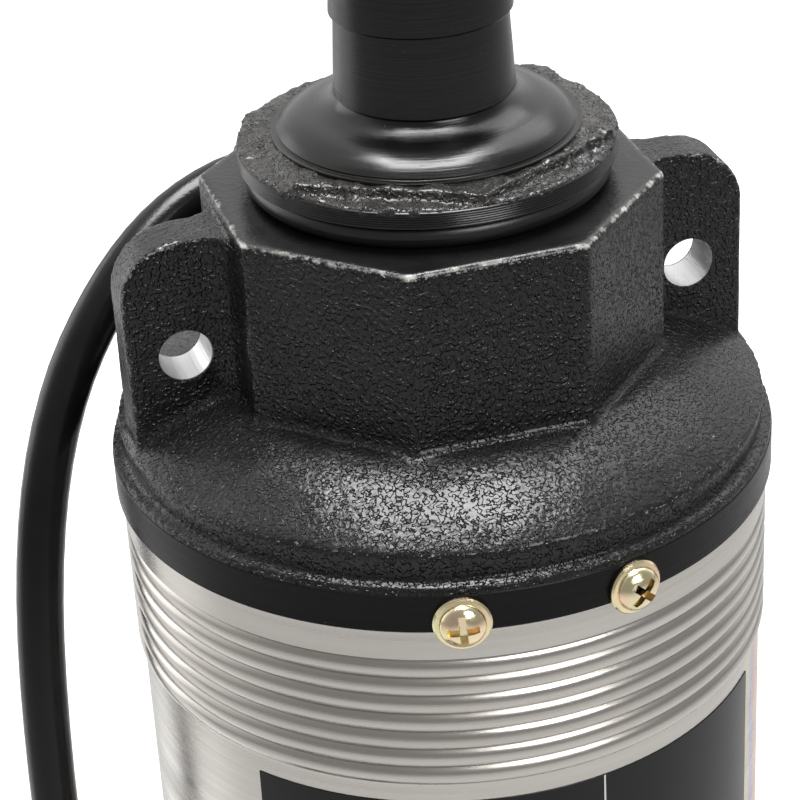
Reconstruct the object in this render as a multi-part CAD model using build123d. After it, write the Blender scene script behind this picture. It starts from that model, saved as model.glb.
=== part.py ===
from build123d import *
import math
import os

# Submersible multistage water pump, standing upright on its foot.
# Millimetres, Z up, origin on the floor under the pump's axis.
# From the floor up: foot, strainer, inlet body, stages, seal bracket, motor in its can,
# motor lid, and the head casting with the outlet, the lifting ears and the cable gland.
# Water rises through the stages, passes round the motor can inside the shell, and leaves
# through the head and the hose tail.

# Fits
SLIDE_FIT = 0.2
SEAT_GAP = 0.05
RUNNING_GAP = 0.05
NECK_GAP = 0.5
AIR_GAP = 0.4

# Shell, with a plain band and rolled ribs at each end
RIM_R = 50.0
SHELL_STEP = 0.8
SHELL_WALL = 0.8
BAND_HEIGHT = 5.45
RIB_COUNT = 7
RIB_PITCH = 3.06
RIB_DEPTH = 0.6
TUBE_STEP = 0.7

# Foot and strainer
FOOT_HEIGHT = 8.0
FOOT_FLOOR = 3.0
FOOT_PLUG = 8.0
FOOT_WALL = 3.0
FOOT_CHAMFER = 1.5
STRAINER_LENGTH = 50.0
STRAINER_R = 46.5
STRAINER_WALL = 1.0
SLOT_COUNT = 24
SLOT_WIDTH = 3.0
SLOT_LENGTH = 26.0
STRAINER_SCREW_INSET = 4.5

# Inlet body
INLET_RING = 14.0
INLET_SKIRT = 9.0
INLET_SPIGOT = 12.0
INLET_WALL = 4.4
INLET_DECK = 4.0
INLET_SPOKES = 4
SPOKE_WIDTH = 4.0
BUSH_R = 8.0
BUSH_LENGTH = 14.0
BUSH_HUB_WALL = 4.0

# Stages
STAGE_COUNT = 6
STAGE_PITCH = 20.0
BOWL_FLOOR = 2.0
BOWL_WALL = 2.0
BOWL_LEDGE = 1.2
EYE_R = 15.8
EYE_WALL = 2.0
IMPELLER_R = 38.0
IMPELLER_LIFT = 0.8
IMPELLER_HEADROOM = 0.7
SHROUD = 1.5
IMPELLER_PASSAGE = 4.5
IMPELLER_VANES = 6
VANE_THICKNESS = 1.6
DIFFUSER_PLATE = 2.0
DIFFUSER_OVERHANG = 3.0
DIFFUSER_VANES = 8
HUB_R = 9.5

# Shaft, from its lower end up
SHAFT_HEX = 12.0
JOURNAL_R = 5.0
NUT_FLATS = 17.0
NUT_HEIGHT = 8.0
SEAL_SHAFT_R = 7.0
ROTOR_SHAFT_R = 10.0
SHAFT_NOSE = 1.5

# Seal bracket, whose hub holds the shaft seal in oil
BRACKET_HEIGHT = 46.0
BRACKET_RING = 12.0
BRACKET_RIBS = 6
BRACKET_RIB_WIDTH = 4.0
BRACKET_HUB_R = 30.0
BRACKET_NOSE_R = 15.0
CAN_LAP = 14.0
OIL_R = 24.0
SEAT_R = 10.9
SEAT_HEIGHT = 4.0
SEAL_HEAD_R = 10.5
SEAL_HEAD_HEIGHT = 7.0
SPRING_WIRE = 1.4
SPRING_TURNS = 3.0
SPRING_LENGTH = 13.0

# Motor
CAN_R = 40.0
CAN_WALL = 1.0
PLATE = 4.0
SKIRT_WALL = 2.5
LOWER_BORE_R = 8.5
LOWER_RACE_R = 20.0
LOWER_WIDTH = 12.0
LOWER_BALL_R = 3.4
UPPER_BORE_R = 7.5
UPPER_RACE_R = 17.5
UPPER_WIDTH = 11.0
UPPER_BALL_R = 3.0
BALL_COUNT = 8
BEARING_HOUSING = 5.0
WINDING_HEIGHT = 10.0
WINDING_ROOM = 2.0
STATOR_LENGTH = 62.0
STATOR_BORE_R = 20.0
STATOR_SLOTS = 24
STATOR_SLOT_WIDTH = 3.2
STATOR_TOOTH_TIP = 1.5
STATOR_SLOT_DEPTH = 10.0
SLOT_MOUTH = 1.2
END_RING_HEIGHT = 6.0
CAPACITOR_R = 15.0
CAPACITOR_LENGTH = 52.0
CAPACITOR_ROOM = 4.0
LID_SPIGOT = 8.0
LID_FLANGE = 3.5
LID_RING_R = 1.2

# Head casting; heights are above the rim's upper edge
LID_DEPTH = 8.5
RIM_HEIGHT = 6.15
SPIGOT_LENGTH = 24.0
SPIGOT_WALL = 4.0
HEAD_RING_R = 1.25
LIP_STEP = 1.1
LIP_HEIGHT = 1.3
CONE_STEP = 1.4
CONE_EDGE_HEIGHT = 5.4
CONE_TOP_R = 34.0
CONE_TOP_HEIGHT = 12.7
CONE_BULGE = 0.6
CEILING_HEIGHT = 8.0
RIB_WIDTH = 5.0
OCTAGON_FLATS = 62.9
OCTAGON_HEIGHT = 40.45
EAR_THICKNESS = 8.0
EAR_REACH = 47.5
EAR_HEIGHT = 38.2
EAR_CORNER_R = 9.0
EAR_ROOT_R = 4.5
EAR_HOLE_R = 4.0
EAR_HOLE_X = 38.9
EAR_HOLE_HEIGHT = 20.25

# Cable gland on the head's back
GLAND_X = 8.0
GLAND_GAP = 0.55
GLAND_HEIGHT = 27.0
GLAND_TILT = 5.0
BOSS_R = 7.8
BOSS_LENGTH = 12.0
POCKET_R = 5.5
POCKET_DEPTH = 10.5
GLAND_FLATS = 15.0
GLAND_NUT_HEIGHT = 6.0
GLAND_SHANK = 4.5
DUCT_R = 6.5
DUCT_BORE_R = 3.0
DUCT_FOOT_X = 14.0
DUCT_FOOT_Y = 27.0

# Hose tail; heights are above the octagon's top
TAIL_THREAD_R = 20.9
TAIL_THREAD_LENGTH = 19.0
OUTLET_RING_R = 1.9
OUTLET_RING_MID_R = 24.8
FLANGE_R = 27.5
FLANGE_HEIGHT = 2.9
TAIL_HEX = 47.0
TAIL_HEX_HEIGHT = 1.3
LEDGE_R = 22.4
LEDGE_HEIGHT = 0.4
FLARE_R = 21.5
FLARE_EDGE = 0.5
SHOULDER_R = 17.0
SHOULDER_RISE = 2.3
NECK_R = 12.6
NECK_RISE = 4.4
BARB_COUNT = 4
BARB_PITCH = 12.0
BARB_R = 13.1
BARB_TAPER = 0.65
TAIL_BORE_R = 10.0
TAIL_MOUTH_R = 16.0
TAIL_TIP_CHAMFER = 0.8

# Cross-recessed screws
SCREW_R = 1.6
SCREW_LENGTH = 7.0
SCREW_FLANGE_R = 4.15
SCREW_FLANGE = 0.9
SCREW_DOME_R = 3.4
SCREW_DOME = 2.0
SCREW_RECESS = 4.9
SCREW_RECESS_WIDTH = 0.9
SCREW_RECESS_DEPTH = 1.5
SCREW_SPREAD = 14.5
SCREW_DEPTH = 4.4
SCREW_NOTCH = 0.6

# Cable
CABLE_R = 3.75
CABLE_GAP = 0.05
FIRST_RUN = 16.5
BOOT_LENGTH = 20.0
BOOT_R = 6.0
BOOT_TIP_R = 4.7
COIL_X = -155.2
COIL_R = 57.0
COIL_WIDTH = 38.6
COIL_HEIGHT = 45.8
COIL_ROUND = 3.0
TIE_WIDTH = 10.0
TIE_THICKNESS = 1.0
TIE_ANGLES = (120.0, 215.0, 320.0)

# Plug on the cable's end
PLUG_R = 19.0
PLUG_DISC = 14.0
PLUG_GRIP_R = 13.0
PLUG_NECK_R = 7.0
PLUG_TAIL_R = 5.2
PLUG_GRIP = 22.0
PLUG_TAIL = 20.0
PLUG_NOTCH_WIDTH = 7.0
PLUG_NOTCH_DEPTH = 3.0
PIN_R = 2.4
PIN_LENGTH = 19.0
PIN_SPACING = 19.0
PIN_ROOT = 6.0

# Radii that follow
BAND_R = RIM_R - SHELL_STEP
RIB_ROOT_R = BAND_R - RIB_DEPTH
TUBE_R = BAND_R - TUBE_STEP
STACK_R = min(RIB_ROOT_R, TUBE_R) - SHELL_WALL - SLIDE_FIT
BAND_BORE_R = BAND_R - SHELL_WALL
STRAINER_BORE_R = STRAINER_R - STRAINER_WALL
CAN_BORE_R = CAN_R - CAN_WALL
CAN_FILL_R = CAN_BORE_R - SEAT_GAP
HUB_BORE_FLATS = SHAFT_HEX + 2 * SEAT_GAP
LAND_GAP = 0.45

# Heights that follow
STRAINER_Z = FOOT_HEIGHT
INLET_Z = STRAINER_Z + STRAINER_LENGTH
INLET_TOP_Z = INLET_Z + INLET_RING
STAGE_Z = INLET_TOP_Z + INLET_SPIGOT
BRACKET_Z = STAGE_Z + STAGE_COUNT * STAGE_PITCH
BRACKET_TOP_Z = BRACKET_Z + BRACKET_HEIGHT
CAN_Z = BRACKET_TOP_Z - CAN_LAP
LOWER_BEARING_Z = BRACKET_TOP_Z + PLATE
STATOR_Z = LOWER_BEARING_Z + LOWER_WIDTH + WINDING_HEIGHT
STATOR_TOP_Z = STATOR_Z + STATOR_LENGTH
UPPER_BEARING_Z = STATOR_TOP_Z + WINDING_HEIGHT + PLATE
UPPER_DECK_Z = UPPER_BEARING_Z + UPPER_WIDTH + SHAFT_NOSE + PLATE
LID_SPIGOT_Z = UPPER_DECK_Z + 2 * CAPACITOR_R + CAPACITOR_ROOM
CAN_TOP_Z = LID_SPIGOT_Z + LID_SPIGOT
LID_Z = CAN_TOP_Z + LID_FLANGE
RIM_Z = LID_Z + LID_DEPTH
SHELL_TOP_Z = RIM_Z - RIM_HEIGHT
OCTAGON_Z = RIM_Z + OCTAGON_HEIGHT
FLANGE_Z = OCTAGON_Z + 2 * OUTLET_RING_R
IMPELLER_TOP = BOWL_FLOOR + IMPELLER_LIFT + 2 * SHROUD + IMPELLER_PASSAGE
DIFFUSER_Z = IMPELLER_TOP + IMPELLER_HEADROOM
VANE_Z = DIFFUSER_Z + DIFFUSER_PLATE
HUB_Z = BOWL_FLOOR + IMPELLER_LIFT - NECK_GAP

# The gland's axis, and where the cable leaves its nut
GLAND_Y = OCTAGON_FLATS / 2 + GLAND_FLATS / 2 + GLAND_GAP
GLAND_AXIS = Vector(-math.cos(math.radians(GLAND_TILT)), 0, math.sin(math.radians(GLAND_TILT)))
GLAND_FACE = Vector(GLAND_X, GLAND_Y, RIM_Z + GLAND_HEIGHT)
CABLE_EXIT = GLAND_FACE + GLAND_AXIS * GLAND_NUT_HEIGHT
FIRST_BEND = CABLE_EXIT + GLAND_AXIS * FIRST_RUN

# The cable's route: straight out of the gland, over the side, down beside the shell and onto
# the coil, whose uppermost outer turn it meets along the tangent.
DROP_ROUTE = [
    tuple(CABLE_EXIT),
    tuple(FIRST_BEND),
    (-30.5, 35.6, 448.5),
    (-44.0, 28.5, 439.8),
    (-55.5, 22.5, 423.5),
    (-62.5, 16.2, 398.5),
    (-65.3, 11.2, 361.0),
    (-65.0, 8.5, 311.0),
    (-65.8, 8.9, 233.0),
    (-66.3, 9.9, 150.0),
    (-66.5, 10.0, 108.0),
    (-66.6, 10.2, 72.0),
    (-74.0, 18.4, 53.0),
    (-86.8, 32.4, 42.0),
    (-101.5, 48.7, 42.0),
]
# The other end of the cable, from the coil's last turn to the plug
TAIL_ROUTE = [
    (-148.9, -72.2, 4.3),
    (-133.0, -70.8, 4.0),
    (-118.0, -69.5, 6.7),
    (-103.0, -68.2, 9.9),
]

parts = {}


def at_floor(align_z=Align.MIN):
    """Alignment of a solid that is centred in plan and stands on its base."""
    return (Align.CENTER, Align.CENTER, align_z)


def disc(radius, low, high):
    """Solid cylinder about the pump's axis between two heights."""
    return Pos(0, 0, low) * Cylinder(radius, high - low, align=at_floor())


def ring(outer, inner, low, high):
    """Straight-walled ring about the pump's axis between two heights."""
    return disc(outer, low, high) - disc(inner, low, high)


def turned(*steps):
    """Solid of revolution about Z from (radius, height) points.

    A step made of two points is an arc through the first one to the second.
    """
    edges = []
    here = steps[0]
    for step in steps[1:] + (steps[0],):
        if isinstance(step[0], tuple):
            edges.append(ThreePointArc(here, step[0], step[1]))
            here = step[1]
        else:
            edges.append(Line(here, step))
            here = step
    return revolve(Plane.XZ * make_face(Curve() + edges), Axis.Z)


def round_ring(middle_r, section_r, height):
    """Ring of round section, such as a sealing ring."""
    return Pos(0, 0, height) * Torus(middle_r, section_r)


def prism(flats, sides, low, high, turn=0.0):
    """Regular prism about the pump's axis, measured across its flats."""
    outline = RegularPolygon(flats / 2, sides, major_radius=False, rotation=turn)
    return Pos(0, 0, low) * extrude(outline, high - low)


def around(count, start=0.0):
    """Turns about Z for a ring of equal pieces."""
    return [Rot(0, 0, start + 360 / count * i) for i in range(count)]


# Shell

def ribbed_edge(z_end, way, inset):
    """Edges of one rolled end of the shell, from its free edge towards the plain tube."""
    band_r = BAND_R - inset
    root_r = RIB_ROOT_R - inset
    z = z_end + way * BAND_HEIGHT
    edges = [Line((band_r, z_end), (band_r, z)), Line((band_r, z), (root_r, z))]
    for _ in range(RIB_COUNT):
        crest = (band_r, z + way * RIB_PITCH / 2)
        edges.append(ThreePointArc((root_r, z), crest, (root_r, z + way * RIB_PITCH)))
        z += way * RIB_PITCH
    return edges, (root_r, z)


def shell_side(inset):
    """Edges of the whole outer or inner side of the shell, and its two ends."""
    lower, low_join = ribbed_edge(INLET_TOP_Z, 1, inset)
    upper, high_join = ribbed_edge(SHELL_TOP_Z, -1, inset)
    tube_r = TUBE_R - inset
    low_tube = (tube_r, low_join[1] + TUBE_STEP)
    high_tube = (tube_r, high_join[1] - TUBE_STEP)
    joins = [Line(low_join, low_tube), Line(low_tube, high_tube), Line(high_tube, high_join)]
    return lower + joins + upper


def outer_shell():
    """Rolled stainless shell, with small notches at its edges for the screws."""
    edges = shell_side(0.0) + shell_side(SHELL_WALL)
    for z in (INLET_TOP_Z, SHELL_TOP_Z):
        edges.append(Line((BAND_R, z), (BAND_BORE_R, z)))
    shell = revolve(Plane.XZ * make_face(Curve() + edges), Axis.Z)
    notch = Rot(0, 90, 0) * Cylinder(SCREW_R + SCREW_NOTCH, 2 * SHELL_STEP + 2 * SHELL_WALL)
    for place in screw_places():
        shell -= place * Pos(BAND_R, 0, 0) * notch
    return shell


# Screws

def screw_places():
    """Turn and height of each screw at the shell's two edges: a pair in front, a pair behind."""
    places = []
    for z in (RIM_Z - SCREW_DEPTH, INLET_TOP_Z - RIM_HEIGHT + SCREW_DEPTH):
        for side in (-90.0, 90.0):
            for spread in (-SCREW_SPREAD, SCREW_SPREAD):
                places.append(Rot(0, 0, side + spread) * Pos(0, 0, z))
    return places


def strainer_screw_places():
    """Turn and height of each screw through the strainer's two edges."""
    places = []
    for z in (STRAINER_Z + STRAINER_SCREW_INSET, INLET_Z - STRAINER_SCREW_INSET):
        for turn in around(4, 45.0):
            places.append(turn * Pos(0, 0, z))
    return places


def screw(seat_r, length):
    """Washer-head screw with a cross recess, lying along X with its head outwards."""
    top = SCREW_FLANGE + SCREW_DOME
    body = turned(
        (0, -length),
        (SCREW_R, -length),
        (SCREW_R, 0),
        (SCREW_FLANGE_R, 0),
        (SCREW_FLANGE_R, SCREW_FLANGE),
        (SCREW_DOME_R, SCREW_FLANGE),
        ((SCREW_DOME_R * 0.8, SCREW_FLANGE + SCREW_DOME * 0.66), (0, top)),
    )
    for turn in (0, 90):
        slot = Box(SCREW_RECESS, SCREW_RECESS_WIDTH, 2 * SCREW_RECESS_DEPTH)
        body -= Pos(0, 0, top) * Rot(0, 0, turn) * slot
    return Pos(seat_r, 0, 0) * Rot(0, 90, 0) * body


def screw_hole(seat_r, length):
    """Drilled hole for a screw, through to a little past its point."""
    reach = length + 2 * SLIDE_FIT
    hole = Cylinder(SCREW_R + SEAT_GAP, reach + SHELL_STEP, align=at_floor(Align.MAX))
    return Pos(seat_r + SHELL_STEP, 0, 0) * Rot(0, 90, 0) * hole


# Foot and strainer

def foot():
    """Base the pump stands on, closing the strainer from below."""
    base = turned(
        (0, FOOT_FLOOR),
        (RIM_R - FOOT_FLOOR - FOOT_WALL * 2, FOOT_FLOOR),
        (RIM_R - FOOT_WALL * 2, 0),
        (STACK_R - FOOT_CHAMFER, 0),
        (STACK_R, FOOT_CHAMFER),
        (STACK_R, FOOT_HEIGHT),
        (STRAINER_BORE_R - SEAT_GAP, FOOT_HEIGHT),
        (STRAINER_BORE_R - SEAT_GAP, FOOT_HEIGHT + FOOT_PLUG),
        (STRAINER_BORE_R - SEAT_GAP - FOOT_WALL, FOOT_HEIGHT + FOOT_PLUG),
        (STRAINER_BORE_R - SEAT_GAP - FOOT_WALL, FOOT_FLOOR + FOOT_WALL),
        (0, FOOT_FLOOR + FOOT_WALL),
    )
    length = FOOT_WALL
    for place in strainer_screw_places()[:4]:
        base -= place * screw_hole(STRAINER_R, length + STRAINER_WALL + 2 * SLIDE_FIT)
    return base


def strainer():
    """Slotted stainless tube that keeps stones out of the pump."""
    tube = ring(STRAINER_R, STRAINER_BORE_R, STRAINER_Z, INLET_Z)
    slot = Rot(0, 90, 0) * extrude(SlotOverall(SLOT_LENGTH, SLOT_WIDTH), 3 * STRAINER_WALL, both=True)
    middle = STRAINER_Z + STRAINER_LENGTH / 2
    cutters = [turn * Pos(STRAINER_R, 0, middle) * slot for turn in around(SLOT_COUNT)]
    tube -= cutters
    for place in strainer_screw_places():
        tube -= place * screw_hole(STRAINER_R, 2 * STRAINER_WALL)
    return tube


def strainer_screws():
    """Screws that hold the strainer to the foot and to the inlet body."""
    length = STRAINER_WALL + FOOT_WALL
    return [place * screw(STRAINER_R, length) for place in strainer_screw_places()]


# Inlet body and guide bush

def inlet_body():
    """Cast ring below the stages: strainer skirt, shell spigot, suction eye and bush hub."""
    wall_r = STRAINER_BORE_R - SEAT_GAP - INLET_WALL
    hub_r = BUSH_R + SEAT_GAP + BUSH_HUB_WALL
    groove_z = INLET_TOP_Z + BAND_HEIGHT / 2
    collar_r = BAND_BORE_R - SEAT_GAP
    body = turned(
        (wall_r, INLET_Z - INLET_SKIRT),
        (STRAINER_BORE_R - SEAT_GAP, INLET_Z - INLET_SKIRT),
        (STRAINER_BORE_R - SEAT_GAP, INLET_Z),
        (RIM_R - FOOT_CHAMFER, INLET_Z),
        (RIM_R, INLET_Z + FOOT_CHAMFER),
        (RIM_R, INLET_TOP_Z),
        (collar_r, INLET_TOP_Z),
        (collar_r, groove_z - HEAD_RING_R),
        (collar_r - 2 * HEAD_RING_R, groove_z - HEAD_RING_R),
        (collar_r - 2 * HEAD_RING_R, groove_z + HEAD_RING_R),
        (collar_r, groove_z + HEAD_RING_R),
        (collar_r, INLET_TOP_Z + BAND_HEIGHT - SLIDE_FIT),
        (STACK_R, INLET_TOP_Z + BAND_HEIGHT - SLIDE_FIT),
        (STACK_R, STAGE_Z),
        (EYE_R + NECK_GAP, STAGE_Z),
        (EYE_R + NECK_GAP, STAGE_Z - INLET_DECK),
        (wall_r, STAGE_Z - 2 * INLET_DECK),
    )
    hub = disc(hub_r, INLET_Z, INLET_Z + BUSH_LENGTH)
    spokes = []
    for turn in around(INLET_SPOKES, 45.0):
        span = wall_r + 1.0
        bar = Box(span, SPOKE_WIDTH, INLET_RING - 2 * FOOT_CHAMFER, align=(Align.MIN, Align.CENTER, Align.MIN))
        spokes.append(turn * Pos(0, 0, INLET_Z + FOOT_CHAMFER) * bar)
    body = body + hub + spokes
    body -= disc(BUSH_R + SEAT_GAP, INLET_Z - 1, INLET_Z + BUSH_LENGTH + 1)
    for place in screw_places()[4:]:
        body -= place * screw_hole(RIM_R, SCREW_LENGTH)
    for place in strainer_screw_places()[4:]:
        body -= place * screw_hole(STRAINER_R, STRAINER_WALL + FOOT_WALL)
    return body


def guide_bush():
    """Bush in which the shaft's lower end runs."""
    return ring(BUSH_R, JOURNAL_R + RUNNING_GAP, INLET_Z, INLET_Z + BUSH_LENGTH)


# Stages

def bent_vane(inner_r, outer_r, sweep, height, thickness=VANE_THICKNESS):
    """One curved vane between two radii, standing on the XY plane."""
    middle_r = (inner_r + outer_r) / 2
    middle = (middle_r * math.cos(math.radians(sweep * 0.42)), middle_r * math.sin(math.radians(sweep * 0.42)))
    tip = (outer_r * math.cos(math.radians(sweep)), outer_r * math.sin(math.radians(sweep)))
    line = ThreePointArc((inner_r, 0), middle, tip)
    return extrude(trace(line, thickness), height)


def stage_bowl(z):
    """Bowl of one stage: floor with the suction eye, and a wall with a ledge."""
    high_r = STACK_R - BOWL_WALL
    low_r = high_r - BOWL_LEDGE
    return turned(
        (EYE_R + NECK_GAP, z),
        (STACK_R, z),
        (STACK_R, z + STAGE_PITCH),
        (high_r, z + STAGE_PITCH),
        (high_r, z + VANE_Z),
        (low_r, z + VANE_Z),
        (low_r, z + BOWL_FLOOR + BOWL_LEDGE),
        (low_r - BOWL_LEDGE, z + BOWL_FLOOR),
        (EYE_R + NECK_GAP, z + BOWL_FLOOR),
    )


def stage_diffuser(z):
    """Plate above the impeller, with vanes that lead the water back to the shaft."""
    plate_r = IMPELLER_R + DIFFUSER_OVERHANG
    hole_r = HUB_R + NECK_GAP
    tip_r = STACK_R - BOWL_WALL - SLIDE_FIT
    body = ring(plate_r, hole_r, z + DIFFUSER_Z, z + VANE_Z)
    vane = bent_vane(hole_r + 3 * VANE_THICKNESS, tip_r, 55.0, STAGE_PITCH - VANE_Z)
    vanes = [turn * Pos(0, 0, z + VANE_Z) * vane for turn in around(DIFFUSER_VANES)]
    return (body + vanes) & disc(tip_r, z + DIFFUSER_Z, z + STAGE_PITCH)


def impeller(z):
    """Closed impeller: two shrouds, backward vanes, a neck in the eye and a long hub."""
    low = z + BOWL_FLOOR + IMPELLER_LIFT
    top = z + IMPELLER_TOP
    eye_bore = EYE_R - EYE_WALL
    neck_z = z + IMPELLER_LIFT - NECK_GAP
    front = turned(
        (eye_bore, neck_z),
        (EYE_R, neck_z),
        (EYE_R, low),
        (IMPELLER_R, low),
        (IMPELLER_R, low + SHROUD),
        (eye_bore + SHROUD, low + SHROUD),
        (eye_bore, low),
    )
    back = ring(IMPELLER_R, HUB_R - 1, top - SHROUD, top)
    hub = disc(HUB_R, z + HUB_Z, z + HUB_Z + STAGE_PITCH)
    lap = SHROUD / 3
    vane = bent_vane(EYE_R, IMPELLER_R + VANE_THICKNESS, -62.0, IMPELLER_PASSAGE + 2 * lap)
    vanes = [turn * Pos(0, 0, low + SHROUD - lap) * vane for turn in around(IMPELLER_VANES)]
    wheel = (front + back + vanes) & disc(IMPELLER_R, neck_z, top)
    wheel = wheel + hub
    return wheel - prism(HUB_BORE_FLATS, 6, z, z + 2 * STAGE_PITCH)


# Shaft

def shaft():
    """Stepped shaft: journal, thread, hexagon for the impellers, seal and bearing seats."""
    hex_z = STAGE_Z + HUB_Z
    hex_top = BRACKET_Z + HUB_Z
    lower_end = LOWER_BEARING_Z + LOWER_WIDTH
    upper_end = UPPER_BEARING_Z + UPPER_WIDTH
    core = turned(
        (0, INLET_Z - SHAFT_NOSE),
        (JOURNAL_R - SHAFT_NOSE, INLET_Z - SHAFT_NOSE),
        (JOURNAL_R, INLET_Z),
        (JOURNAL_R, hex_z),
        (SEAL_SHAFT_R - 2 * SHAFT_NOSE, hex_z),
        (SEAL_SHAFT_R - 2 * SHAFT_NOSE, hex_top),
        (SEAL_SHAFT_R, hex_top),
        (SEAL_SHAFT_R, LOWER_BEARING_Z - PLATE / 2),
        (LOWER_BORE_R - SEAT_GAP, LOWER_BEARING_Z),
        (LOWER_BORE_R - SEAT_GAP, lower_end),
        (ROTOR_SHAFT_R, lower_end),
        (ROTOR_SHAFT_R, UPPER_BEARING_Z),
        (UPPER_BORE_R - SEAT_GAP, UPPER_BEARING_Z),
        (UPPER_BORE_R - SEAT_GAP, upper_end),
        (0, upper_end),
    )
    return core + prism(SHAFT_HEX, 6, hex_z, hex_top)


def impeller_nut():
    """Nut that clamps the impellers against the shaft's shoulder."""
    top = STAGE_Z + HUB_Z
    nut = prism(NUT_FLATS, 6, top - NUT_HEIGHT, top)
    return nut - disc(JOURNAL_R + SEAT_GAP, top - NUT_HEIGHT - 1, top + 1)


# Seal bracket and shaft seal

SEAL_Z = BRACKET_Z + 2 * PLATE


def seal_bracket():
    """Bracket between stages and motor: water passes its ribs, its hub holds oil and seal."""
    ring_r = STACK_R - BOWL_WALL
    ledge_z = CAN_Z
    hub = turned(
        (SEAL_SHAFT_R + NECK_GAP, BRACKET_Z + PLATE),
        (BRACKET_NOSE_R, BRACKET_Z + PLATE),
        (BRACKET_HUB_R, BRACKET_Z + BRACKET_RING + PLATE),
        (CAN_R, ledge_z - PLATE),
        (CAN_R, ledge_z),
        (CAN_FILL_R, ledge_z),
        (CAN_FILL_R, BRACKET_TOP_Z),
        (OIL_R, BRACKET_TOP_Z),
        (OIL_R, SEAL_Z + SEAT_HEIGHT + PLATE),
        (SEAT_R + PLATE, SEAL_Z + SEAT_HEIGHT),
        (SEAT_R + SEAT_GAP, SEAL_Z + SEAT_HEIGHT),
        (SEAT_R + SEAT_GAP, SEAL_Z),
        (SEAL_SHAFT_R + NECK_GAP, SEAL_Z),
    )
    rim = ring(STACK_R, ring_r, BRACKET_Z, BRACKET_Z + BRACKET_RING)
    rib_low = BRACKET_Z + PLATE + 1
    outline = Polyline(
        (BRACKET_NOSE_R - 1, rib_low),
        (ring_r + BOWL_WALL / 2, rib_low),
        (ring_r + BOWL_WALL / 2, BRACKET_Z + BRACKET_RING - 1),
        (CAN_R - 1, ledge_z - PLATE - 1),
        (BRACKET_HUB_R - 2, BRACKET_Z + BRACKET_RING + PLATE + 2),
        (BRACKET_NOSE_R - 1, rib_low + 3),
        close=True,
    )
    rib = extrude(Plane.XZ * make_face(outline), BRACKET_RIB_WIDTH / 2, both=True)
    body = hub + rim + [turn * rib for turn in around(BRACKET_RIBS)]
    oil_room = turned(
        (0, SEAL_Z + SEAT_HEIGHT),
        (SEAT_R + PLATE, SEAL_Z + SEAT_HEIGHT),
        (OIL_R, SEAL_Z + SEAT_HEIGHT + PLATE),
        (OIL_R, BRACKET_TOP_Z + 1),
        (0, BRACKET_TOP_Z + 1),
    )
    return body - oil_room


def seal_seat():
    """Fixed ceramic ring of the shaft seal."""
    return ring(SEAT_R, SEAL_SHAFT_R + NECK_GAP, SEAL_Z, SEAL_Z + SEAT_HEIGHT)


def seal_head():
    """Rotating carbon ring of the shaft seal, in its holder."""
    low = SEAL_Z + SEAT_HEIGHT + SEAT_GAP
    step = SEAL_HEAD_HEIGHT / 3
    return turned(
        (SEAL_SHAFT_R + SEAT_GAP, low),
        (SEAL_HEAD_R - SPRING_WIRE, low),
        (SEAL_HEAD_R - SPRING_WIRE, low + step),
        (SEAL_HEAD_R, low + step),
        (SEAL_HEAD_R, low + SEAL_HEAD_HEIGHT),
        (SEAL_SHAFT_R + SEAT_GAP, low + SEAL_HEAD_HEIGHT),
    )


def seal_spring():
    """Spring that presses the seal's rotating ring down, between two flat end rings."""
    low = SEAL_Z + SEAT_HEIGHT + SEAT_GAP + SEAL_HEAD_HEIGHT
    radius = SEAL_SHAFT_R + SPRING_WIRE * 1.25
    dip = SPRING_WIRE * 0.7
    rise = SPRING_LENGTH - 2 * dip
    coil = Helix(rise / SPRING_TURNS, rise, radius)
    wire = Plane(coil @ 0, z_dir=coil % 0) * Circle(SPRING_WIRE / 2)
    body = Pos(0, 0, low + dip) * sweep(wire, path=coil, is_frenet=True)
    outer = radius + SPRING_WIRE * 0.75
    inner = SEAL_SHAFT_R + SEAT_GAP
    base = ring(outer, inner, low, low + SPRING_WIRE)
    cap = ring(outer, inner, low + SPRING_LENGTH - SPRING_WIRE, low + SPRING_LENGTH)
    return body + base + cap


# Ball bearings

def race_radii(bore_r, race_r, ball_r):
    """Pitch radius, inner land radius and outer land radius of a bearing."""
    pitch_r = (bore_r + race_r) / 2
    return pitch_r, pitch_r - ball_r * LAND_GAP, pitch_r + ball_r * LAND_GAP


def groove(pitch_r, ball_r, height):
    """The space that the balls sweep in their races."""
    return round_ring(pitch_r, ball_r + RUNNING_GAP, height)


def bearing_outer(bore_r, race_r, width, ball_r, low):
    """Outer ring of a ball bearing."""
    pitch_r, _, land_r = race_radii(bore_r, race_r, ball_r)
    return ring(race_r, land_r, low, low + width) - groove(pitch_r, ball_r, low + width / 2)


def bearing_inner(bore_r, race_r, width, ball_r, low):
    """Inner ring of a ball bearing."""
    pitch_r, land_r, _ = race_radii(bore_r, race_r, ball_r)
    return ring(land_r, bore_r, low, low + width) - groove(pitch_r, ball_r, low + width / 2)


def ball(radius):
    """Sphere about the origin."""
    return turned((0, -radius), ((radius, 0), (0, radius)))


def bearing_balls(bore_r, race_r, width, ball_r, low):
    """Balls of a bearing and the cage that spaces them."""
    pitch_r, inner_land, outer_land = race_radii(bore_r, race_r, ball_r)
    middle = low + width / 2
    pocket_r = ball_r + RUNNING_GAP
    lip = ball_r / 5
    cage = ring(outer_land - lip, inner_land + lip, middle - ball_r - lip, middle + ball_r + lip)
    places = [turn * Pos(pitch_r, 0, middle) for turn in around(BALL_COUNT)]
    cage -= [place * ball(pocket_r) for place in places]
    return [place * ball(ball_r) for place in places] + [cage]


# Motor

def motor_can():
    """Stainless can that keeps the motor dry."""
    return ring(CAN_R, CAN_BORE_R, CAN_Z, CAN_TOP_Z)


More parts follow.
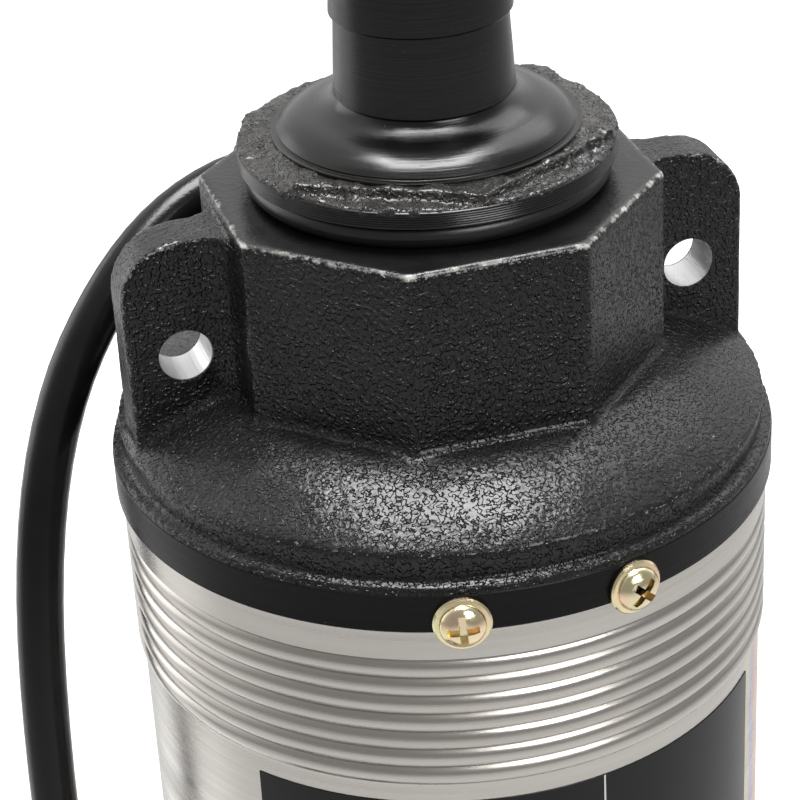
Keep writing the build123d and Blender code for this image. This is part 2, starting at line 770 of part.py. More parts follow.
def lower_bearing_bracket():
    """Plate over the oil chamber, with the lower bearing's housing and a skirt to the stator."""
    housing_r = LOWER_RACE_R + BEARING_HOUSING
    bore_r = LOWER_RACE_R + SEAT_GAP
    return turned(
        (LOWER_BORE_R + NECK_GAP, BRACKET_TOP_Z),
        (CAN_FILL_R, BRACKET_TOP_Z),
        (CAN_FILL_R, STATOR_Z),
        (CAN_FILL_R - SKIRT_WALL, STATOR_Z),
        (CAN_FILL_R - SKIRT_WALL, LOWER_BEARING_Z),
        (housing_r, LOWER_BEARING_Z),
        (housing_r, LOWER_BEARING_Z + LOWER_WIDTH - WINDING_ROOM),
        (bore_r, LOWER_BEARING_Z + LOWER_WIDTH - WINDING_ROOM),
        (bore_r, LOWER_BEARING_Z),
        (LOWER_BORE_R + NECK_GAP, LOWER_BEARING_Z),
    )


def upper_bearing_bracket():
    """Plate over the stator, with the upper bearing's housing and a closed cap."""
    housing_r = UPPER_RACE_R + BEARING_HOUSING
    bore_r = UPPER_RACE_R + SEAT_GAP
    cap_z = UPPER_BEARING_Z + UPPER_WIDTH + SHAFT_NOSE
    neck_r = ROTOR_SHAFT_R + NECK_GAP
    lip_z = UPPER_BEARING_Z - WINDING_ROOM
    return turned(
        (0, cap_z),
        (bore_r, cap_z),
        (bore_r, UPPER_BEARING_Z),
        (neck_r, UPPER_BEARING_Z),
        (neck_r, lip_z),
        (housing_r, lip_z),
        (housing_r, UPPER_DECK_Z - PLATE),
        (CAN_FILL_R - SKIRT_WALL, UPPER_DECK_Z - PLATE),
        (CAN_FILL_R - SKIRT_WALL, STATOR_TOP_Z),
        (CAN_FILL_R, STATOR_TOP_Z),
        (CAN_FILL_R, UPPER_DECK_Z),
        (0, UPPER_DECK_Z),
    )


def stator_slots(width, depth, start_r):
    """Radial rectangles for the slots of the stator."""
    bar = Pos(start_r + depth / 2, 0) * Rectangle(depth, width)
    return [turn * bar for turn in around(STATOR_SLOTS)]


def stator_core():
    """Laminated core with slots for the winding."""
    outline = Circle(CAN_FILL_R) - Circle(STATOR_BORE_R)
    start_r = STATOR_BORE_R + STATOR_TOOTH_TIP
    outline -= stator_slots(STATOR_SLOT_WIDTH, STATOR_SLOT_DEPTH, start_r)
    outline -= stator_slots(SLOT_MOUTH, 2 * STATOR_TOOTH_TIP, STATOR_BORE_R - STATOR_TOOTH_TIP)
    return Pos(0, 0, STATOR_Z) * extrude(outline, STATOR_LENGTH)


def stator_winding():
    """Copper in the slots, joined by the end turns above and below the core."""
    inner_r = STATOR_BORE_R + STATOR_TOOTH_TIP + SEAT_GAP
    depth = STATOR_SLOT_DEPTH - 2 * SEAT_GAP
    bars = Sketch() + stator_slots(STATOR_SLOT_WIDTH - 2 * SEAT_GAP, depth, inner_r)
    body = Pos(0, 0, STATOR_Z) * extrude(bars, STATOR_LENGTH)
    ends = []
    height = WINDING_HEIGHT - WINDING_ROOM
    for low in (STATOR_Z - height, STATOR_TOP_Z):
        ends.append(ring(inner_r + depth, inner_r + depth / 4, low, low + height))
    return body + ends


def rotor_core():
    """Laminated rotor with its cast end rings."""
    radius = STATOR_BORE_R - AIR_GAP
    body = ring(radius, ROTOR_SHAFT_R + SEAT_GAP, STATOR_Z, STATOR_TOP_Z)
    for low in (STATOR_Z - END_RING_HEIGHT, STATOR_TOP_Z):
        body += ring(radius - 1, radius / 2 + ROTOR_SHAFT_R / 2, low, low + END_RING_HEIGHT)
    return body


def capacitor():
    """Run capacitor lying over the upper bearing bracket."""
    can = Rot(0, 90, 0) * Cylinder(CAPACITOR_R, CAPACITOR_LENGTH)
    cap = Rot(0, 90, 0) * Cylinder(CAPACITOR_R * 0.8, 2)
    can = can + Pos(CAPACITOR_LENGTH / 2 + 1, 0, 0) * cap
    return Pos(0, 0, UPPER_DECK_Z + CAPACITOR_R) * can


def motor_lid():
    """Lid of the motor can, with a groove for its ring and a bore for the leads."""
    groove_z = LID_SPIGOT_Z + LID_SPIGOT / 2
    bed_r = CAN_FILL_R - 2 * LID_RING_R
    lid = turned(
        (0, LID_SPIGOT_Z + PLATE / 2),
        (bed_r - 2 * PLATE, LID_SPIGOT_Z + PLATE / 2),
        (bed_r - 2 * PLATE, LID_SPIGOT_Z),
        (CAN_FILL_R, LID_SPIGOT_Z),
        (CAN_FILL_R, groove_z - LID_RING_R),
        (bed_r, groove_z - LID_RING_R),
        (bed_r, groove_z + LID_RING_R),
        (CAN_FILL_R, groove_z + LID_RING_R),
        (CAN_FILL_R, CAN_TOP_Z),
        (CAN_R, CAN_TOP_Z),
        (CAN_R, LID_Z),
        (0, LID_Z),
    )
    bore = Pos(DUCT_FOOT_X, DUCT_FOOT_Y, LID_SPIGOT_Z - 1) * Cylinder(
        DUCT_BORE_R, LID_Z - LID_SPIGOT_Z + 2, align=at_floor())
    return lid - bore


def motor_lid_ring():
    """Sealing ring of the motor lid."""
    return round_ring(CAN_FILL_R - LID_RING_R, LID_RING_R - SEAT_GAP, LID_SPIGOT_Z + LID_SPIGOT / 2)


# Head casting

def gland_cylinder(radius, back, front):
    """Cylinder along the gland's axis between two distances from the boss face."""
    base = GLAND_FACE + GLAND_AXIS * back
    return Plane(base, z_dir=GLAND_AXIS) * Cylinder(radius, front - back, align=at_floor())


def head_shell():
    """Turned part of the head: spigot, rim, lip and cone."""
    collar_r = BAND_BORE_R - SEAT_GAP
    groove_z = SHELL_TOP_Z - BAND_HEIGHT / 2
    band_z = SHELL_TOP_Z - BAND_HEIGHT + SLIDE_FIT
    spigot_z = SHELL_TOP_Z - SPIGOT_LENGTH
    cone_edge_r = RIM_R - CONE_STEP
    middle_r = (CONE_TOP_R + cone_edge_r) / 2
    middle_z = RIM_Z + (CONE_TOP_HEIGHT + CONE_EDGE_HEIGHT) / 2 + CONE_BULGE
    lip_r = RIM_R - LIP_STEP
    return turned(
        (0, spigot_z),
        (STACK_R, spigot_z),
        (STACK_R, band_z),
        (collar_r, band_z),
        (collar_r, groove_z - HEAD_RING_R),
        (collar_r - 2 * HEAD_RING_R, groove_z - HEAD_RING_R),
        (collar_r - 2 * HEAD_RING_R, groove_z + HEAD_RING_R),
        (collar_r, groove_z + HEAD_RING_R),
        (collar_r, SHELL_TOP_Z),
        (RIM_R - SLIDE_FIT, SHELL_TOP_Z),
        (RIM_R, SHELL_TOP_Z + SLIDE_FIT),
        (RIM_R, RIM_Z),
        ((lip_r + LIP_STEP * 0.3, RIM_Z + LIP_HEIGHT * 0.35), (lip_r, RIM_Z + LIP_HEIGHT)),
        (cone_edge_r, RIM_Z + CONE_EDGE_HEIGHT),
        ((middle_r, middle_z), (CONE_TOP_R, RIM_Z + CONE_TOP_HEIGHT)),
        (0, RIM_Z + CONE_TOP_HEIGHT),
    )


def ear(side):
    """Lifting ear on one flat of the octagon, with cast root fillets."""
    flat = OCTAGON_FLATS / 2
    inner = flat - EAR_ROOT_R
    half = EAR_THICKNESS / 2
    plan = Pos((inner + EAR_REACH) / 2, 0) * Rectangle(EAR_REACH - inner, EAR_THICKNESS)
    root = Pos(flat + EAR_ROOT_R / 2, 0) * Rectangle(EAR_ROOT_R, 2 * (half + EAR_ROOT_R))
    for y in (-half - EAR_ROOT_R, half + EAR_ROOT_R):
        root -= Pos(flat + EAR_ROOT_R, y) * Circle(EAR_ROOT_R)
    plate = Pos(0, 0, RIM_Z) * extrude(plan + root, EAR_HEIGHT)
    side_view = Pos(0, RIM_Z) * Rectangle(EAR_REACH, EAR_HEIGHT, align=(Align.MIN, Align.MIN))
    corner = side_view.vertices().sort_by(Axis.Y)[-2:].sort_by(Axis.X)[-1]
    side_view = fillet(corner, EAR_CORNER_R)
    plate &= extrude(Plane.XZ * side_view, 2 * EAR_THICKNESS, both=True)
    return plate if side > 0 else Rot(0, 0, 180) * plate


def gland_boss():
    """Boss of the cable gland behind the octagon, with the web that carries it."""
    foot_z = RIM_Z + CONE_EDGE_HEIGHT
    low_x = GLAND_X - 1
    web = Pos(low_x, OCTAGON_FLATS / 2 - 2, foot_z) * Box(
        BOSS_LENGTH, GLAND_Y + BOSS_R - OCTAGON_FLATS / 2 + 2, GLAND_HEIGHT - CONE_EDGE_HEIGHT,
        align=(Align.MIN, Align.MIN, Align.MIN))
    web &= gland_cylinder(4 * BOSS_R, -2 * BOSS_LENGTH, 0)
    boss = gland_cylinder(BOSS_R, -BOSS_LENGTH, 0)
    return (boss + web) & disc(RIM_R - SLIDE_FIT, RIM_Z, OCTAGON_Z)


def duct(radius, overshoot):
    """Slanted passage for the leads from the gland's pocket down to the motor lid."""
    top = GLAND_FACE - GLAND_AXIS * (POCKET_DEPTH - DUCT_BORE_R)
    end = Vector(DUCT_FOOT_X, DUCT_FOOT_Y, LID_Z)
    way = (end - top).normalized()
    return Plane(top, z_dir=way) * Cylinder(radius, (end - top).length + overshoot, align=at_floor())


def head_casting():
    """Head: octagon, ears, cone, rim and spigot, the water chamber, its ribs and the gland."""
    bore_r = TAIL_THREAD_R + SEAT_GAP
    body = head_shell() + prism(OCTAGON_FLATS, 8, RIM_Z + CONE_EDGE_HEIGHT, OCTAGON_Z, 22.5)
    body = body + ear(1) + ear(-1) + gland_boss()
    chamber_r = STACK_R - SPIGOT_WALL
    ceiling_z = RIM_Z + CEILING_HEIGHT
    spigot_z = SHELL_TOP_Z - SPIGOT_LENGTH
    chamber = turned(
        (0, spigot_z - 1),
        (chamber_r, spigot_z - 1),
        (chamber_r, LID_Z),
        (chamber_r - SPIGOT_WALL, RIM_Z),
        (bore_r, ceiling_z),
        (0, ceiling_z),
    )
    inside = turned(
        (0, LID_Z),
        (chamber_r + 1, LID_Z),
        (chamber_r + 1, RIM_Z),
        (bore_r, ceiling_z + 1),
        (0, ceiling_z + 1),
    )
    body -= chamber
    rib = Pos(bore_r + RIB_WIDTH, 0, LID_Z) * Box(
        chamber_r - bore_r - RIB_WIDTH + 1, RIB_WIDTH, LID_DEPTH + CEILING_HEIGHT,
        align=(Align.MIN, Align.CENTER, Align.MIN))
    ribs = [(turn * rib) & inside for turn in around(4, 15.0)]
    body = body + ribs + (duct(DUCT_R, DUCT_R) & inside)
    body -= disc(bore_r, ceiling_z - 1, OCTAGON_Z + 1)
    body -= duct(DUCT_BORE_R, DUCT_R)
    body -= gland_cylinder(POCKET_R, -POCKET_DEPTH, 1)
    hole = Rot(90, 0, 0) * Cylinder(EAR_HOLE_R, 4 * EAR_THICKNESS)
    for x in (-EAR_HOLE_X, EAR_HOLE_X):
        body -= Pos(x, 0, RIM_Z + EAR_HOLE_HEIGHT) * hole
    for place in screw_places()[:4]:
        body -= place * screw_hole(RIM_R, SCREW_LENGTH)
    return body


def end_ring(height):
    """Sealing ring between the shell and a casting at one of its ends."""
    middle_r = BAND_BORE_R - SEAT_GAP - HEAD_RING_R
    return round_ring(middle_r, HEAD_RING_R - SEAT_GAP, height)


def gland_nut():
    """Hollow hexagon screw that squeezes the gland's bush."""
    outline = RegularPolygon(GLAND_FLATS / 2, 6, major_radius=False)
    head = Plane(GLAND_FACE, z_dir=GLAND_AXIS) * extrude(outline, GLAND_NUT_HEIGHT)
    shank = gland_cylinder(POCKET_R - SEAT_GAP, -GLAND_SHANK, 0)
    hole = gland_cylinder(CABLE_R + SLIDE_FIT, -GLAND_SHANK - 1, GLAND_NUT_HEIGHT + 1)
    return head + shank - hole


def gland_bush():
    """Rubber bush squeezed round the cable in the gland's pocket."""
    back = -POCKET_DEPTH + SEAT_GAP
    body = gland_cylinder(POCKET_R - SEAT_GAP, back, -GLAND_SHANK)
    return body - gland_cylinder(CABLE_R, back - 1, 0)


# Hose tail

def outlet_ring():
    """Rubber ring between the octagon and the hose tail's flange."""
    return round_ring(OUTLET_RING_MID_R, OUTLET_RING_R - SEAT_GAP, OCTAGON_Z + OUTLET_RING_R)


def hose_tail():
    """Cast hose tail: threaded root, flange, low hexagon, turned flare and barbs."""
    flange_top = FLANGE_Z + FLANGE_HEIGHT
    hex_top = flange_top + TAIL_HEX_HEIGHT
    flare_z = hex_top + LEDGE_HEIGHT + FLARE_EDGE
    neck_z = flare_z + NECK_RISE
    barb_z = neck_z + SLIDE_FIT
    top_z = barb_z + BARB_COUNT * BARB_PITCH
    steps = [
        (TAIL_MOUTH_R, OCTAGON_Z - TAIL_THREAD_LENGTH),
        (TAIL_THREAD_R, OCTAGON_Z - TAIL_THREAD_LENGTH),
        (TAIL_THREAD_R, FLANGE_Z),
        (FLANGE_R, FLANGE_Z),
        (FLANGE_R, flange_top),
        (LEDGE_R, flange_top),
        (LEDGE_R, hex_top + LEDGE_HEIGHT),
        (FLARE_R, hex_top + LEDGE_HEIGHT),
        (FLARE_R, flare_z),
        (((FLARE_R + SHOULDER_R) / 2 + 0.3, flare_z + SHOULDER_RISE * 0.62),
         (SHOULDER_R, flare_z + SHOULDER_RISE)),
        (((SHOULDER_R + NECK_R) / 2 - 0.6, flare_z + (SHOULDER_RISE + NECK_RISE) / 2 - 0.3),
         (NECK_R, neck_z)),
        (NECK_R, barb_z),
    ]
    for i in range(BARB_COUNT):
        low = barb_z + i * BARB_PITCH
        steps.append((BARB_R, low))
        steps.append((BARB_R - BARB_TAPER, low + BARB_PITCH))
    steps[-1] = (BARB_R - BARB_TAPER - TAIL_TIP_CHAMFER, top_z)
    steps += [
        (TAIL_BORE_R, top_z),
        (TAIL_BORE_R, neck_z),
        (TAIL_MOUTH_R, FLANGE_Z),
    ]
    hexagon = prism(TAIL_HEX, 6, flange_top, hex_top, 30) - disc(FLARE_R, FLANGE_Z, neck_z)
    return turned(*steps) + hexagon


# Cable

def corner_radius(before, corner, after):
    """Largest tangent arc that the two runs at a corner allow."""
    run_in = Vector(*corner) - Vector(*before)
    run_out = Vector(*after) - Vector(*corner)
    turn = math.radians(run_in.get_angle(run_out))
    return 0.45 * min(run_in.length, run_out.length) / math.tan(turn / 2)


def cable_path(points):
    """Straight runs joined by arcs, one at each corner; its radii and length are printed."""
    radii = [corner_radius(*points[i:i + 3]) for i in range(len(points) - 2)]
    path = FilletPolyline(*points, radius=radii)
    print("cable radii", [round(r, 1) for r in radii], "length", round(path.length, 1))
    return path


def cable_tube(points):
    """Round cable along a route; its volume is printed against section times length."""
    path = cable_path(points)
    tube = sweep(Plane(path @ 0, z_dir=path % 0) * Circle(CABLE_R), path=path)
    print("cable volume", round(tube.volume), "of", round(math.pi * CABLE_R ** 2 * path.length))
    return tube


def cable_boot():
    """Tapered rubber boot that stiffens the cable where it leaves the gland nut."""
    path = cable_path(DROP_ROUTE[:3])
    share = BOOT_LENGTH / path.length
    path = path.trim(0, share)
    base = Plane(path @ 0, z_dir=path % 0) * Circle(BOOT_R)
    tip = Plane(path @ 1, z_dir=path % 1) * Circle(BOOT_TIP_R)
    body = sweep([base.face(), tip.face()], path=path, multisection=True)
    bore = sweep(Plane(path @ 0, z_dir=path % 0) * Circle(CABLE_R + CABLE_GAP), path=path)
    return body - bore


def coil_section(inset):
    """Rounded section of the coil in the XZ plane, at its distance from the coil's middle."""
    width = COIL_WIDTH - 2 * inset
    height = COIL_HEIGHT - 2 * inset
    return Plane.XZ * Pos(COIL_R, COIL_HEIGHT / 2) * RectangleRounded(width, height, COIL_ROUND - inset)


def coil_tie(angle):
    """Band round the coil's section."""
    outer = extrude(coil_section(0.0), TIE_WIDTH / 2, both=True)
    inner = extrude(coil_section(TIE_THICKNESS), TIE_WIDTH, both=True)
    return Pos(COIL_X, 0, 0) * Rot(0, 0, angle) * (outer - inner)


def coil_ties():
    """Bands that hold the coil's turns together."""
    return [coil_tie(angle) for angle in TIE_ANGLES]


def cable_coil():
    """Outer shape of the stored cable, wound into a ring."""
    body = Pos(COIL_X, 0, 0) * revolve(coil_section(0.0), Axis.Z)
    for angle in TIE_ANGLES:
        outer = extrude(coil_section(-TIE_THICKNESS), TIE_WIDTH / 2, both=True)
        inner = extrude(coil_section(TIE_THICKNESS), TIE_WIDTH, both=True)
        body -= Pos(COIL_X, 0, 0) * Rot(0, 0, angle) * (outer - inner)
    return body


# Plug

def plug_plane():
    """Plane at the plug's cable end, facing along the plug."""
    end = Vector(*TAIL_ROUTE[-1])
    return Plane(end, x_dir=(0, 0, 1), z_dir=end - Vector(*TAIL_ROUTE[-2]))


def plug_body():
    """Moulded rubber plug with a tapered tail, a grip and two earth notches."""
    grip_z = PLUG_TAIL
    disc_z = grip_z + PLUG_GRIP
    face_z = disc_z + PLUG_DISC
    body = turned(
        (0, 0),
        (PLUG_TAIL_R, 0),
        (PLUG_NECK_R, grip_z),
        ((PLUG_GRIP_R - 1, grip_z + PLUG_GRIP * 0.3), (PLUG_GRIP_R, grip_z + PLUG_GRIP * 0.6)),
        (PLUG_R - 1, disc_z),
        (PLUG_R, disc_z + 1),
        (PLUG_R, face_z - 1),
        (PLUG_R - 1, face_z),
        (0, face_z),
    )
    for side in (-1, 1):
        notch = Box(4 * PLUG_NOTCH_DEPTH, PLUG_NOTCH_WIDTH, 2 * PLUG_DISC - 2)
        body -= Pos(0, side * (PLUG_R + PLUG_NOTCH_DEPTH), face_z) * Rot(0, 0, 90) * notch
    for side in (-1, 1):
        body -= Pos(0, side * PIN_SPACING / 2, face_z + 1) * Cylinder(
            PIN_R + SEAT_GAP, PIN_ROOT + 1, align=at_floor(Align.MAX))
    return plug_plane() * body


def plug_pins():
    """The plug's two round pins."""
    face_z = PLUG_TAIL + PLUG_GRIP + PLUG_DISC
    pins = []
    for side in (-1, 1):
        pin = Cylinder(PIN_R, PIN_ROOT + PIN_LENGTH, align=at_floor())
        pin = chamfer(pin.edges().sort_by(Axis.Z)[-1], PIN_R / 3)
        pins.append(plug_plane() * Pos(0, side * PIN_SPACING / 2, face_z - PIN_ROOT) * pin)
    return pins


# All nodes

parts["foot"] = foot()
parts["strainer"] = strainer()
parts["strainer_screws"] = strainer_screws()
parts["inlet_body"] = inlet_body()
parts["inlet_seal_ring"] = end_ring(INLET_TOP_Z + BAND_HEIGHT / 2)
parts["guide_bush"] = guide_bush()
for i in range(STAGE_COUNT):
    level = STAGE_Z + i * STAGE_PITCH
    parts[f"stage_bowl_{i + 1}"] = stage_bowl(level)
    parts[f"stage_diffuser_{i + 1}"] = stage_diffuser(level)
    parts[f"impeller_{i + 1}"] = impeller(level)
parts["impeller_nut"] = impeller_nut()
parts["shaft"] = shaft()
parts["seal_bracket"] = seal_bracket()
parts["seal_seat"] = seal_seat()
parts["seal_head"] = seal_head()
parts["seal_spring"] = seal_spring()
bearings = {
    "lower_bearing": (LOWER_BORE_R, LOWER_RACE_R, LOWER_WIDTH, LOWER_BALL_R, LOWER_BEARING_Z),
    "upper_bearing": (UPPER_BORE_R, UPPER_RACE_R, UPPER_WIDTH, UPPER_BALL_R, UPPER_BEARING_Z),
}
for name, sizes in bearings.items():
    parts[f"{name}_outer_ring"] = bearing_outer(*sizes)
    parts[f"{name}_inner_ring"] = bearing_inner(*sizes)
    parts[f"{name}_balls"] = bearing_balls(*sizes)
parts["lower_bearing_bracket"] = lower_bearing_bracket()
parts["upper_bearing_bracket"] = upper_bearing_bracket()
parts["stator_core"] = stator_core()
parts["stator_winding"] = stator_winding()
parts["rotor_core"] = rotor_core()
parts["capacitor"] = capacitor()
parts["motor_can"] = motor_can()
parts["motor_lid"] = motor_lid()
parts["motor_lid_ring"] = motor_lid_ring()
parts["outer_shell"] = outer_shell()
parts["shell_screws"] = [place * screw(RIM_R, SCREW_LENGTH) for place in screw_places()]
parts["head_casting"] = head_casting()
parts["head_seal_ring"] = end_ring(SHELL_TOP_Z - BAND_HEIGHT / 2)
parts["gland_nut"] = gland_nut()
parts["gland_bush"] = gland_bush()
parts["outlet_seal_ring"] = outlet_ring()
parts["hose_tail"] = hose_tail()
parts["cable_boot"] = cable_boot()
parts["cable_drop"] = cable_tube(DROP_ROUTE)
parts["cable_coil"] = cable_coil()
parts["cable_tail"] = cable_tube(TAIL_ROUTE)
parts["coil_ties"] = coil_ties()
parts["plug_body"] = plug_body()
parts["plug_pins"] = plug_pins()

os.makedirs("parts", exist_ok=True)
for name, solid in parts.items():
    if isinstance(solid, list):
        solid = Compound(children=[piece for group in solid for piece in group.solids()])
    export_step(solid, f"parts/{name}.step")
print("rim at", RIM_Z, "octagon top at", OCTAGON_Z, "cable leaves at", CABLE_EXIT)
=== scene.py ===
"""Looks of a submersible water pump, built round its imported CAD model.

The pump stands upright: a rolled steel shell, a rough cast head with two lifting ears and an
eight-sided crown, and a turned hose tail on top. Its cable leaves the head at the back, drops
to the floor and lies there as a tied coil with its plug. Sizes are in millimetres above the
floor unless a name says otherwise, and become metres in the mesh.
"""

import logging
import math
from dataclasses import dataclass, field
from enum import Enum
from typing import Callable, Iterable, Sequence

import bpy
import numpy as np
from mathutils import Matrix, Vector

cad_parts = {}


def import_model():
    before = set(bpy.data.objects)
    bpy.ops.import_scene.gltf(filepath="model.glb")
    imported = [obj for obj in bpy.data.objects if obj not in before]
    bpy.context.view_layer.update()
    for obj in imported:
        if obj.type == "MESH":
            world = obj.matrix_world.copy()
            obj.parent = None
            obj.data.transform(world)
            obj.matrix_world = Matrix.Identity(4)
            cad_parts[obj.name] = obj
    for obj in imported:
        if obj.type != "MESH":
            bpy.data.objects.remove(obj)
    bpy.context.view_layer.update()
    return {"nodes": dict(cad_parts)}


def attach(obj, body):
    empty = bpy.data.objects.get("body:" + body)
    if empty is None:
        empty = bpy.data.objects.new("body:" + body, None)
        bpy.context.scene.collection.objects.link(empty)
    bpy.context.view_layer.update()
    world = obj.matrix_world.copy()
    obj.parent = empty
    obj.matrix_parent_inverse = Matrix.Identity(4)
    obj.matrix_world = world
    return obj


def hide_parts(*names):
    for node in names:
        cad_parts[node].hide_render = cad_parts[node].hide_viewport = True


log = logging.getLogger("pump")

MM = 0.001
RIM_Z = 422.5
RIM_HEIGHT = 6.15
CROWN_Z = 462.95
FLANGE_Z = 466.75
SHELL_LOW = 72.0
GLAND_FACE = (8.0, 39.5, RIM_Z + 27.0)
GLAND_TILT = 5.0
BODY = "root"
CASTING_SLOT = "painted_cast_iron"

Point2 = tuple[float, float]
Point3 = tuple[float, float, float]


# Steps at the bench


def nothing_selected() -> None:
    """Deselects every object, so that the next primitive is alone."""
    for other in bpy.context.selected_objects:
        other.select_set(False)


def only(obj: bpy.types.Object) -> None:
    """Makes one object the active one and the only one selected.

    Args:
        obj: the object to work on.
    """
    nothing_selected()
    obj.select_set(True)
    bpy.context.view_layer.objects.active = obj


def edit(obj: bpy.types.Object) -> None:
    """Opens one object in edit mode with all of it selected.

    Args:
        obj: the object to open.
    """
    only(obj)
    bpy.ops.object.mode_set(mode="EDIT")
    bpy.ops.mesh.select_mode(type="VERT")
    bpy.ops.mesh.select_all(action="SELECT")


def close_edit() -> None:
    """Goes back to object mode."""
    bpy.ops.object.mode_set(mode="OBJECT")


def settle(obj: bpy.types.Object) -> None:
    """Puts the object's place, turn and size into its mesh."""
    only(obj)
    bpy.ops.object.transform_apply(location=True, rotation=True, scale=True)


def swing(obj: bpy.types.Object, degrees: float, axis: str) -> None:
    """Turns a mesh about an axis through the origin.

    Args:
        obj: the object.
        degrees: the angle.
        axis: the axis, X, Y or Z.
    """
    edit(obj)
    bpy.ops.transform.rotate(value=math.radians(degrees), orient_axis=axis,
                             center_override=(0, 0, 0))
    close_edit()


def own_copy(obj: bpy.types.Object, name: str) -> bpy.types.Object:
    """Copies an object together with its mesh or curve.

    Args:
        obj: the object to copy.
        name: the copy's name.

    Returns:
        The copy, in the scene.
    """
    twin = obj.copy()
    twin.data = obj.data.copy()
    twin.name = name
    bpy.context.scene.collection.objects.link(twin)
    return twin


def clean(obj: bpy.types.Object) -> None:
    """Merges doubles and turns the faces outwards.

    Args:
        obj: the mesh.
    """
    edit(obj)
    bpy.ops.mesh.remove_doubles(threshold=1e-6)
    bpy.ops.mesh.normals_make_consistent(inside=False)
    close_edit()


def tidy(obj: bpy.types.Object, angle: float = 32.0) -> None:
    """Cleans a mesh and smooths all but its sharp edges.

    Args:
        obj: a closed mesh.
        angle: edges sharper than this many degrees stay sharp.
    """
    clean(obj)
    bpy.ops.object.shade_smooth_by_angle(angle=math.radians(angle))


def apply_all(obj: bpy.types.Object) -> None:
    """Applies every modifier of an object, in order.

    Args:
        obj: the object.
    """
    only(obj)
    for modifier in list(obj.modifiers):
        bpy.ops.object.modifier_apply(modifier=modifier.name)


def gather(target: bpy.types.Object, other: bpy.types.Object) -> None:
    """Adds a second solid's mesh to the first, to be fused by a remesh.

    Args:
        target: the solid that stays.
        other: the solid that is used up.
    """
    only(target)
    other.select_set(True)
    bpy.ops.object.join()


def combine(target: bpy.types.Object, tool: bpy.types.Object, way: str,
            solver: str = "EXACT") -> None:
    """Joins a second solid to the first, or cuts it out, and removes the second.

    Args:
        target: the solid that stays.
        tool: the solid that is used up.
        way: UNION, DIFFERENCE or INTERSECT.
        solver: EXACT, or MANIFOLD for a dense closed mesh.
    """
    step = target.modifiers.new("combine", "BOOLEAN")
    step.operation = way
    step.solver = solver
    step.object = tool
    apply_all(target)
    bpy.data.objects.remove(tool)


def fuse(obj: bpy.types.Object, grid: float, passes: int) -> None:
    """Fuses gathered solids into one even skin and softens it, as a mould does.

    Args:
        obj: the gathered solids.
        grid: the size of the new skin's faces.
        passes: how often it is softened.
    """
    blend = obj.modifiers.new("blend", "REMESH")
    blend.mode = "VOXEL"
    blend.voxel_size = grid * MM
    soften = obj.modifiers.new("soften", "SMOOTH")
    soften.factor = 0.5
    soften.iterations = passes
    apply_all(obj)


def arc(first: Point2, middle: Point2, last: Point2, count: int) -> list[Point2]:
    """Points on a smooth bend from one point to another, bulging towards a third.

    Args:
        first: where the bend starts.
        middle: the point that it passes at its middle.
        last: where it ends.
        count: the number of points after the first.

    Returns:
        The points after the first.
    """
    pull = tuple(2 * m - (a + b) / 2 for a, m, b in zip(first, middle, last))
    points = []
    for i in range(1, count + 1):
        t = i / count
        points.append(tuple(
            (1 - t) ** 2 * a + 2 * t * (1 - t) * p + t * t * b
            for a, p, b in zip(first, pull, last)))
    return points


def turned(name: str, profile: Sequence[Point2], steps: int = 128,
           sweep: float = 360.0, start: float = 0.0) -> bpy.types.Object:
    """Spins an outline about the pump's axis.

    Args:
        name: the new object's name.
        profile: the outline as radius and height, in order.
        steps: the number of steps round.
        sweep: the angle of the spin in degrees.
        start: the angle at which it starts; it goes clockwise seen from above.

    Returns:
        The spun object, not yet tidied.
    """
    side = Vector((math.cos(math.radians(start)), math.sin(math.radians(start)), 0))
    spots = [(side * r + Vector((0, 0, z))) * MM for r, z in profile]
    nothing_selected()
    bpy.ops.mesh.primitive_plane_add(size=2 * MM)
    obj = bpy.context.object
    obj.name = name
    edit(obj)
    bpy.ops.mesh.merge(type="CENTER")
    bpy.ops.transform.translate(value=spots[0])
    for here, there in zip(spots, spots[1:]):
        bpy.ops.mesh.extrude_region_move(TRANSFORM_OT_translate={"value": there - here})
    bpy.ops.mesh.select_all(action="SELECT")
    bpy.ops.mesh.spin(steps=steps, angle=math.radians(sweep), center=(0, 0, 0), axis=(0, 0, 1))
    close_edit()
    return obj


def bored_ring(name: str, profile: Sequence[Point2], steps: int = 128) -> bpy.types.Object:
    """Spins a closed outline into a ring with crisp machined edges.

    Args:
        name: the new object's name.
        profile: the outline, whose last point joins the first.
        steps: the number of steps round.

    Returns:
        The finished ring.
    """
    obj = turned(name, list(profile) + [profile[0]], steps)
    tidy(obj)
    return obj


def rod(name: str, radius: float, length: float, centre: Sequence[float],
        rotation: Sequence[float], sides: int) -> bpy.types.Object:
    """Adds a plain cylinder or prism, to be shaped further.

    Args:
        name: the new object's name.
        radius: its corner radius.
        length: its length.
        centre: its middle.
        rotation: its turn, as Euler angles.
        sides: the number of sides.

    Returns:
        The new object.
    """
    nothing_selected()
    bpy.ops.mesh.primitive_cylinder_add(
        vertices=sides, radius=radius * MM, depth=length * MM,
        location=[c * MM for c in centre], rotation=rotation)
    obj = bpy.context.object
    obj.name = name
    settle(obj)
    return obj


def cylinder(name: str, radius: float, low: float, high: float, sides: int = 64,
             turn: float = 0.0) -> bpy.types.Object:
    """Adds a cylinder or prism that stands on the pump's axis.

    Args:
        name: the new object's name.
        radius: its corner radius.
        low: the height of its foot.
        high: the height of its top.
        sides: the number of sides.
        turn: its turn in degrees.

    Returns:
        The new object.
    """
    return rod(name, radius, high - low, (0, 0, (low + high) / 2),
               (0, 0, math.radians(turn)), sides)


